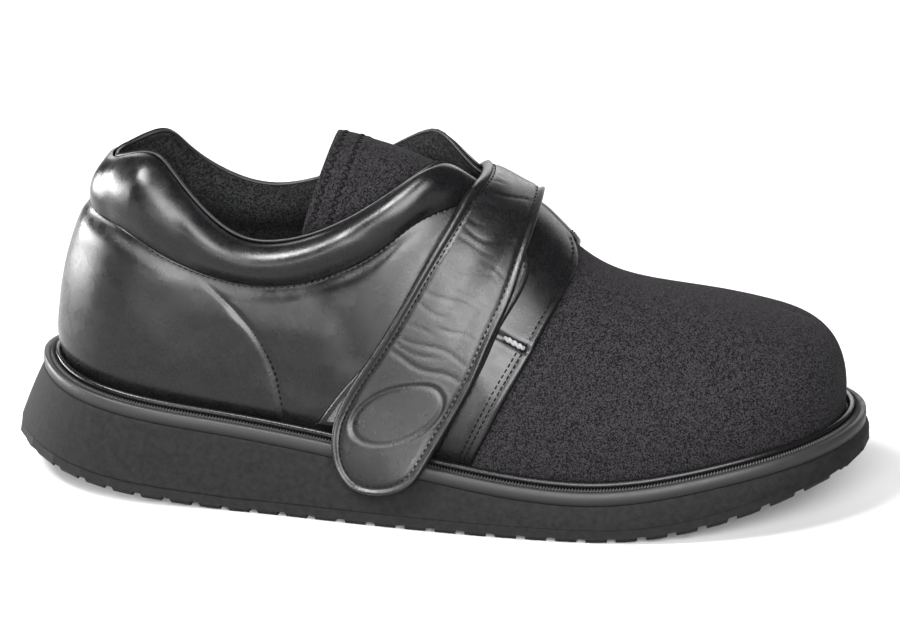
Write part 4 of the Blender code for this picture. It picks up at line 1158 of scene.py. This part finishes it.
def build_tongue():
    """The stretch tongue, its free end bound with a band sewn by two zigzag rows."""
    stations = np.linspace(0, 1, TONGUE_STEPS)
    across = np.linspace(-90, 90, TONGUE_STEPS)
    over, under = tongue_face(0.0, stations, across), tongue_face(TONGUE_THICKNESS, stations, across)
    middle = (over + under) / 2
    edge = np.linalg.norm(over - over[-1], axis=-1)
    order = np.arange(TONGUE_STEPS)
    sides = np.minimum(order, order[::-1])[None, :] * 0.0007
    full = rounded(np.minimum(edge, sides + 0.0003), 0.0014)[..., None]
    over = middle + (over - middle) * full
    under = middle + (under - middle) * full
    normals = grid_normals(over)
    if normals[TONGUE_STEPS // 2, TONGUE_STEPS // 2, 2] < 0:
        normals = -normals
    relief = BAND_RELIEF * (1 - smooth_step(edge, BAND_WIDTH - 0.0006, BAND_WIDTH + 0.0006))
    for press in (BAND_PRESS_INSET, BAND_WIDTH - BAND_PRESS_INSET):
        relief += trough(edge - press, 0.0010, 0.0003)
    over = over + normals * (relief * full[..., 0])[..., None]
    points = np.vstack([under.reshape(-1, 3), over.reshape(-1, 3)])
    made = add_mesh("tongue_cloth", points, sheet_faces(TONGUE_STEPS, TONGUE_STEPS), TONGUE_CLOTH)
    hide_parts("tongue")
    insets = (ZIGZAG_INSET, BAND_WIDTH - ZIGZAG_INSET)
    rows = [zigzag_row(over, normals, edge, inset) for inset in insets]
    band = add_threads("tongue_stitches", rows, BLACK_THREAD)


def zigzag_row(grid, normals, edge, inset):
    """A zigzag of stitches across the tongue a set distance from its free end."""
    places, ups, ahead = [], [], []
    for c in range(4, grid.shape[1] - 4):
        r = int(np.argmin(np.abs(edge[:, c] - inset)))
        places.append(grid[r, c])
        ups.append(normals[r, c])
        step = grid[r - 3, c] - grid[min(r + 1, len(grid) - 1), c]
        ahead.append(step / np.linalg.norm(step))
    path, ups, ahead = np.array(places), np.array(ups), np.array(ahead)
    points, up = along_path(path, ups, 0.001, ZIGZAG_PITCH / 2)
    _, way = along_path(path, ahead, 0.001, ZIGZAG_PITCH / 2)
    side = np.where(np.arange(len(points)) % 2, 1.0, -1.0)[:, None]
    corners = points + way * side * ZIGZAG_WIDTH / 2
    return threads(corners[:-1], corners[1:], up[:-1] + up[1:], ZIGZAG_LIFT, ZIGZAG_RADIUS)


def strap_path(columns, lift):
    """The strap's face, lift above its underside, and how far each crossing lies from the tip."""
    side, rear, rear_row, front, front_row = np.array(STRAP).T[..., None]
    share = rear + (front - rear) * columns
    rows = rear_row + (front_row - rear_row) * columns
    lateral_lift = LEATHER + column(STRAP_STAND_OFF, 1, rows) * TAB_STAND_OFF + lift
    lifts = (lateral_lift, np.full_like(rows, LEATHER + STRAP_GAP + lift))
    near, far = (
        last_points(share, rows, medial) + last_normals(share, rows, medial) * lifts[medial][..., None]
        for medial in (False, True)
    )
    path = np.where(side[..., None] < 0, near, far)
    middle = path.mean(axis=1, keepdims=True)
    path[:TIP_ROWS] = middle[:TIP_ROWS] + path[TIP_ROWS] - middle[TIP_ROWS]
    run = np.r_[0, np.cumsum(np.linalg.norm(np.diff(path.mean(axis=1), axis=0), axis=1))]
    turn = np.linspace(0.02, 1, TIP_CROSSINGS) * np.pi / 2
    tip = TIP_LENGTH * (1 - np.cos(turn))
    at = np.r_[tip, np.linspace(TIP_LENGTH, run[-1] + TIP_BOW, STRAP_CROSSINGS)[1:]] - TIP_BOW
    width = np.r_[np.sin(turn) ** 1.1, np.ones(STRAP_CROSSINGS - 1)]
    flat = path.reshape(len(run), -1)
    fine = np.array([spline(run, flat[:, k], at) for k in range(flat.shape[1])]).T
    fine = fine.reshape(len(at), len(columns), 3)
    narrow = 0.5 + (columns - 0.5) * width[:, None]
    place = narrow * (len(columns) - 1)
    low = np.clip(place.astype(int), 0, len(columns) - 2)
    part = (place - low)[..., None]
    row = np.arange(len(at))[:, None]
    return at, narrow, fine[row, low] * (1 - part) + fine[row, low + 1] * part


def strap_relief(place, across, edge, width):
    """Relief of the strap's face: folded rim, stitch groove, soft creases and the plain oval."""
    relief = -trough(edge - STRAP_RIM / 2, 0.0009, 0.00045)
    relief += trough(edge - STRAP_STITCH_INSET, 0.0009, 0.0004)
    relief += trough(edge - STRAP_RIM - 0.0004, 0.0005, 0.0003)
    inside = smooth_step(edge, 0.003, 0.006)
    for at, start, end, slant, half, depth in STRAP_CREASES:
        line = at + slant * (across - 0.5) + CREASE_WAVE * np.sin(across * 9 + at * 400)
        fade = smooth_step(across, start - 0.08, start + 0.05)
        fade = fade * (1 - smooth_step(across, end - 0.15, end + 0.05))
        relief += trough(place - line, half * CREASE_WIDTH, depth * CREASE_DEPTH) * fade * inside
    return relief + oval_relief(place, across, width)


def build_strap():
    """The instep strap and the stitches along its edge."""
    columns = np.linspace(0, 1, STRAP_COLUMNS)
    run, across, under = strap_path(columns, 0.0)
    _, _, over = strap_path(columns, STRAP_THICKNESS)
    under, over = soften(under, run), soften(over, run)
    normals = over - under
    normals /= np.linalg.norm(normals, axis=-1, keepdims=True)
    edge = distance_to(over, boundary_loop(over))
    edge[-1] = 0.0
    width = np.linalg.norm(over[:, -1] - over[:, 0], axis=1)[:, None]
    relief = strap_relief(run[:, None], across, edge, width)
    full = rounded(edge, STRAP_EDGE_ROUND)
    thick = STRAP_THICKNESS * (STRAP_EDGE_SHARE + (1 - STRAP_EDGE_SHARE) * full)
    top = under + normals * (thick + relief * full)[..., None]
    points = np.vstack([under.reshape(-1, 3), top.reshape(-1, 3)])
    made = add_mesh("strap_leather", points, sheet_faces(len(run), len(columns)), STRAP_LEATHER)
    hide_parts("strap")
    path, ups = inset_loop(top, normals, edge, STRAP_STITCH_INSET)
    stitches = add_threads("strap_stitches", [stitch_meshes(path - ups * 0.0001, ups)], BLACK_THREAD)


def soften(grid, run):
    """The strap's face with its bends over the throat eased along its length."""
    eased = grid.copy()
    amount = smooth_step(run, 0.012, 0.030)[:, None, None]
    for _ in range(STRAP_EASE_ROUNDS):
        moved = (eased[:-2] + 2 * eased[1:-1] + eased[2:]) / 4
        eased[1:-1] += (moved - eased[1:-1]) * amount[1:-1]
    return eased


def oval_relief(place, across, width):
    """Relief of the plain oval: one pressed line with a low lip outside it, round a bare face."""
    x = (across - OVAL_ACROSS) * width
    y = place - OVAL_ALONG
    turn = math.radians(OVAL_TURN)
    long_way = (x * math.cos(turn) + y * math.sin(turn)) / OVAL_HALF_LONG
    short_way = (y * math.cos(turn) - x * math.sin(turn)) / OVAL_HALF_SHORT
    gap = (np.sqrt(long_way**2 + short_way**2) - 1) * OVAL_HALF_SHORT
    return trough(gap, OVAL_RIM, OVAL_DEPTH) - trough(gap - 2 * OVAL_RIM, OVAL_RIM, OVAL_LIP)


def inset_loop(grid, normals, edge, inset):
    """Points and normals a set distance inside the long edges and the tip of a grid."""
    rows, columns = edge.shape
    half = columns // 2
    start = int(np.argmax(edge[:, half] > inset))
    places = []
    for r in range(rows - 6, start, -1):
        if edge[r, :half].max() > inset:
            places.append((r, np.interp(inset, edge[r, :half], np.arange(half))))
    for r in range(start + 1, rows - 5):
        back = edge[r, half:][::-1]
        if back.max() > inset:
            places.append((r, columns - 1 - np.interp(inset, back, np.arange(len(back)))))
    path = np.array([read_grid(grid, r, c) for r, c in places])
    ups = np.array([read_grid(normals, r, c) for r, c in places])
    for _ in range(6):
        path[1:-1] = (path[:-2] + 2 * path[1:-1] + path[2:]) / 4
    return path, ups / np.linalg.norm(ups, axis=1, keepdims=True)


def read_grid(grid, row, at):
    """The grid's value on a row, between two of its columns."""
    low = int(np.clip(at, 0, grid.shape[1] - 2))
    return grid[row, low] + (grid[row, low + 1] - grid[row, low]) * (at - low)


def build_patch():
    """The landing patch: a pile face inside a leather edge."""
    table = np.array(LANDING)
    order = np.linspace(0, 1, len(table))
    rows, rear, front = (spline(order, table[:, k], np.linspace(0, 1, PATCH_ROWS)) for k in range(3))
    share = rear[:, None] + (front - rear)[:, None] * np.linspace(0, 1, PATCH_COLUMNS)
    rows = np.repeat(rows[:, None], PATCH_COLUMNS, axis=1)
    under = outer_points(share, rows, False, 0.0001)
    over = outer_points(share, rows, False, LANDING_GAP + LANDING_THICKNESS)
    normals = last_normals(share, rows, False)
    edge = distance_to(over, boundary_loop(over))
    random = np.random.default_rng(PILE_SEED)
    fuzz = random.normal(0, PILE_HEIGHT, edge.shape)
    full = rounded(edge, PATCH_ROUND)
    top = under + (over - under) * full[..., None] + normals * (fuzz * (edge > PATCH_EDGE))[..., None]
    points = np.vstack([under.reshape(-1, 3), top.reshape(-1, 3)])
    faces = sheet_faces(*edge.shape)[:, ::-1]
    made = add_mesh("patch_pile", points, faces, PATCH_PILE)
    made.data.materials.append(STRAP_LEATHER)
    inset = np.r_[edge.ravel(), edge.ravel()][faces].mean(axis=1)
    made.data.polygons.foreach_set("material_index", (inset < PATCH_EDGE).astype(int))
    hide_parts("landing_patch")


def sole_grid(shares, profile):
    """A grid round the sole: each profile row holds an offset and a height function."""
    plan, outward = ring(shares)
    loops = []
    for offset, height in profile:
        moved = plan + outward * np.reshape(offset, (-1, 1))
        loops.append(np.c_[moved, height(moved[:, 0])])
    return np.stack(loops, axis=1)


def above_foam(rise):
    """A height function: rise above the welt's underside, a number or one for each point round."""
    return lambda x: welt_underside(x) + GAP + rise


def build_welt():
    """The welt strip, its grey partly its own tone and partly a painted reflection of the light on its flat
    face, with its pressed teeth, and the glossy bead inside them.
    """
    shares = np.linspace(0, 1, int(HALF_ROUND / TOOTH_PITCH) * 4 + 1)
    plan, _ = ring(shares)
    run = np.arange(len(plan)) * HALF_ROUND / (len(shares) - 1)
    teeth = np.abs(((run / TOOTH_PITCH) % 1.0) - 0.5) * 2 * TOOTH_HEIGHT
    top = WELT_THICKNESS
    section = (
        (-0.0012, 0.0), (0.0, 0.0004), (0.0002, top * 0.5), (0.0, top - 0.0006), (-0.0006, top),
        (-0.0016, top + 0.0001), (-0.0020, top - 0.0004), (-0.0023, top - 0.0006 + 0.2 * teeth),
        (-0.0026, top - 0.0003 + teeth), (-0.0033, top - 0.0001 + teeth),
        (-0.0038, top - 0.0004 + 0.5 * teeth), (-WELT_LEDGE - 0.0004, top - 0.0008),
        (-WELT_WIDTH, top - 0.0008), (-WELT_WIDTH, 0.0),
    )
    grid = sole_grid(shares, [(offset, above_foam(rise)) for offset, rise in section])
    made = add_grid("welt_strip", grid, WELT_RUBBER_AND_REFLECTION, wrap_rows=True, wrap_columns=True, flip=True)
    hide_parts("welt")
    centre = -WELT_LEDGE - BEAD_WIDTH / 2 + 0.0001
    bead = []
    for a in np.linspace(0, 2 * np.pi, 14, endpoint=False):
        rise = top + BEAD_HEIGHT * (BEAD_MIDDLE + (1 - BEAD_MIDDLE) * math.sin(a))
        bead.append((centre + BEAD_WIDTH * 0.52 * math.cos(a), above_foam(rise)))
    grid = sole_grid(np.linspace(0, 1, 240), bead)
    made = add_grid("welt_bead", grid, BEAD_RUBBER, wrap_rows=True, wrap_columns=True)


def build_midsole():
    """The foam wedge's side, smooth round its outline and a little uneven as moulded foam is."""
    shares = np.linspace(0, 1, 260)
    plan, _ = ring(shares)
    flare = side_flare(plan[:, 0])
    profile = []
    for t in np.linspace(0, 1, 26):
        swell = FOAM_SWELL * math.sin(math.pi * t)
        bulge = np.interp(t, (0, 0.5, 1), (0.90, 0.45, 0.0))

        def height(x, t=t):
            low = outsole_top(x)
            return low + (welt_underside(x) + GAP - low) * t

        profile.append((flare * bulge + swell, height))
    outer = [(-FOAM_RETURN, profile[0][1])]
    inner = [(-FOAM_RETURN, profile[-1][1])]
    made = add_grid("midsole_foam", sole_grid(shares, outer + profile + inner), SOLE_FOAM, wrap_rows=True)
    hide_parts("midsole")


def build_insole():
    """The footbed's cloth face with its raised rim."""
    inside_wall = feather_inset() + WALL + 2 * GAP + 0.0006
    rim = -max(inside_wall, WELT_WIDTH + GAP)
    top = INSOLE_THICKNESS + INSOLE_CUP
    flat = -feather_inset() - INSOLE_SHOULDER
    inner = rim - 0.0016
    levels = [(rim, 0.0005), (rim, top * 0.7), (rim - 0.0006, top - 0.0004), (inner, top)]
    for t in np.linspace(0, 1, 8)[1:]:
        levels.append((inner + (flat - inner) * t, top - INSOLE_CUP * (1 - (1 - t) ** 2)))
    for reach in (0.004, 0.010, 0.018, 0.027):
        levels.append((flat - reach, INSOLE_THICKNESS))
    grid = sole_grid(np.linspace(0, 1, 160), [(offset, above_foam(rise)) for offset, rise in levels])
    made = add_grid("footbed", grid, INSOLE_CLOTH, wrap_rows=True, flip=True)
    fill_loop(made, grid)
    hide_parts("insole")


def fill_loop(made, grid):
    """Closes a ring grid's last loop by joining each lateral point to its medial twin."""
    rows, columns = grid.shape[:2]
    work = bmesh.new()
    work.from_mesh(made.data)
    work.verts.ensure_lookup_table()
    last = [work.verts[(r % rows) * columns + columns - 1] for r in range(rows + 1)]
    for i in range(rows // 2):
        corners = list(dict.fromkeys((last[i], last[i + 1], last[rows - i - 1], last[rows - i])))
        if len(corners) > 2:
            face = work.faces.new(corners)
            face.smooth = True
    bmesh.ops.recalc_face_normals(work, faces=work.faces)
    work.to_mesh(made.data)
    work.free()


def dress_outsole():
    """The tread layer keeps its solid and takes a rubber finish."""
    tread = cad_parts["outsole"]
    tread.data.materials.clear()
    tread.data.materials.append(TREAD_RUBBER)


def build_stage():
    """A plain pale floor."""
    mesh = bpy.data.meshes.new("floor")
    corners = [(x * FLOOR_HALF, y * FLOOR_HALF, 0) for x, y in ((-1, -1), (1, -1), (1, 1), (-1, 1))]
    mesh.from_pydata(corners, [], [(0, 1, 2, 3)])
    mesh.materials.append(Nodes("floor", (FLOOR_TONE,) * 3, 0.9, specular=0.1).material)
    floor = bpy.data.objects.new("floor", mesh)
    bpy.context.scene.collection.objects.link(floor)


def orbit(middle, distance, turn, lift):
    """A place round a middle, and the rotation that faces it; turn 0 is the lateral side."""
    turn, lift = math.radians(turn), math.radians(lift)
    place = (
        middle[0] + distance * math.sin(turn) * math.cos(lift),
        middle[1] - distance * math.cos(turn) * math.cos(lift),
        middle[2] + distance * math.sin(lift),
    )
    return place, (math.pi / 2 - lift, 0.0, turn)


def add_light(name, turn, lift, distance, power, width, height):
    """A soft panel that faces the shoe from a turn round it."""
    data = bpy.data.lights.new(name, "AREA")
    data.energy = power
    data.shape = "RECTANGLE"
    data.size = width
    data.size_y = height
    made = bpy.data.objects.new(name, data)
    made.location, made.rotation_euler = orbit(LIGHT_MIDDLE, distance, turn, lift)
    bpy.context.scene.collection.objects.link(made)


def light_and_camera():
    """Soft studio light from above and both sides, and the photograph's camera."""
    scene = bpy.context.scene
    world = bpy.data.worlds.new("studio")
    scene.world = world
    world.use_nodes = True
    background = world.node_tree.nodes["Background"]
    background.inputs["Color"].default_value = (1.0, 1.0, 1.0, 1.0)
    background.inputs["Strength"].default_value = SKY_STRENGTH
    for row in LIGHTS:
        add_light(*row)
    scene.view_settings.view_transform = "Standard"
    data = bpy.data.cameras.new("camera")
    data.lens = LENS
    data.sensor_width = 36.0
    data.shift_y = SHIFT_UP
    data.clip_start = 0.05
    camera = bpy.data.objects.new("camera", data)
    camera.location, camera.rotation_euler = orbit(TARGET, DISTANCE, AZIMUTH, ELEVATION)
    scene.collection.objects.link(camera)
    scene.camera = camera


build_quarters()
build_collar()
build_lining()
build_vamp()
upper_threads()
build_tacks()
build_tongue()
build_strap()
build_patch()
build_welt()
build_midsole()
build_insole()
dress_outsole()
build_stage()
light_and_camera()
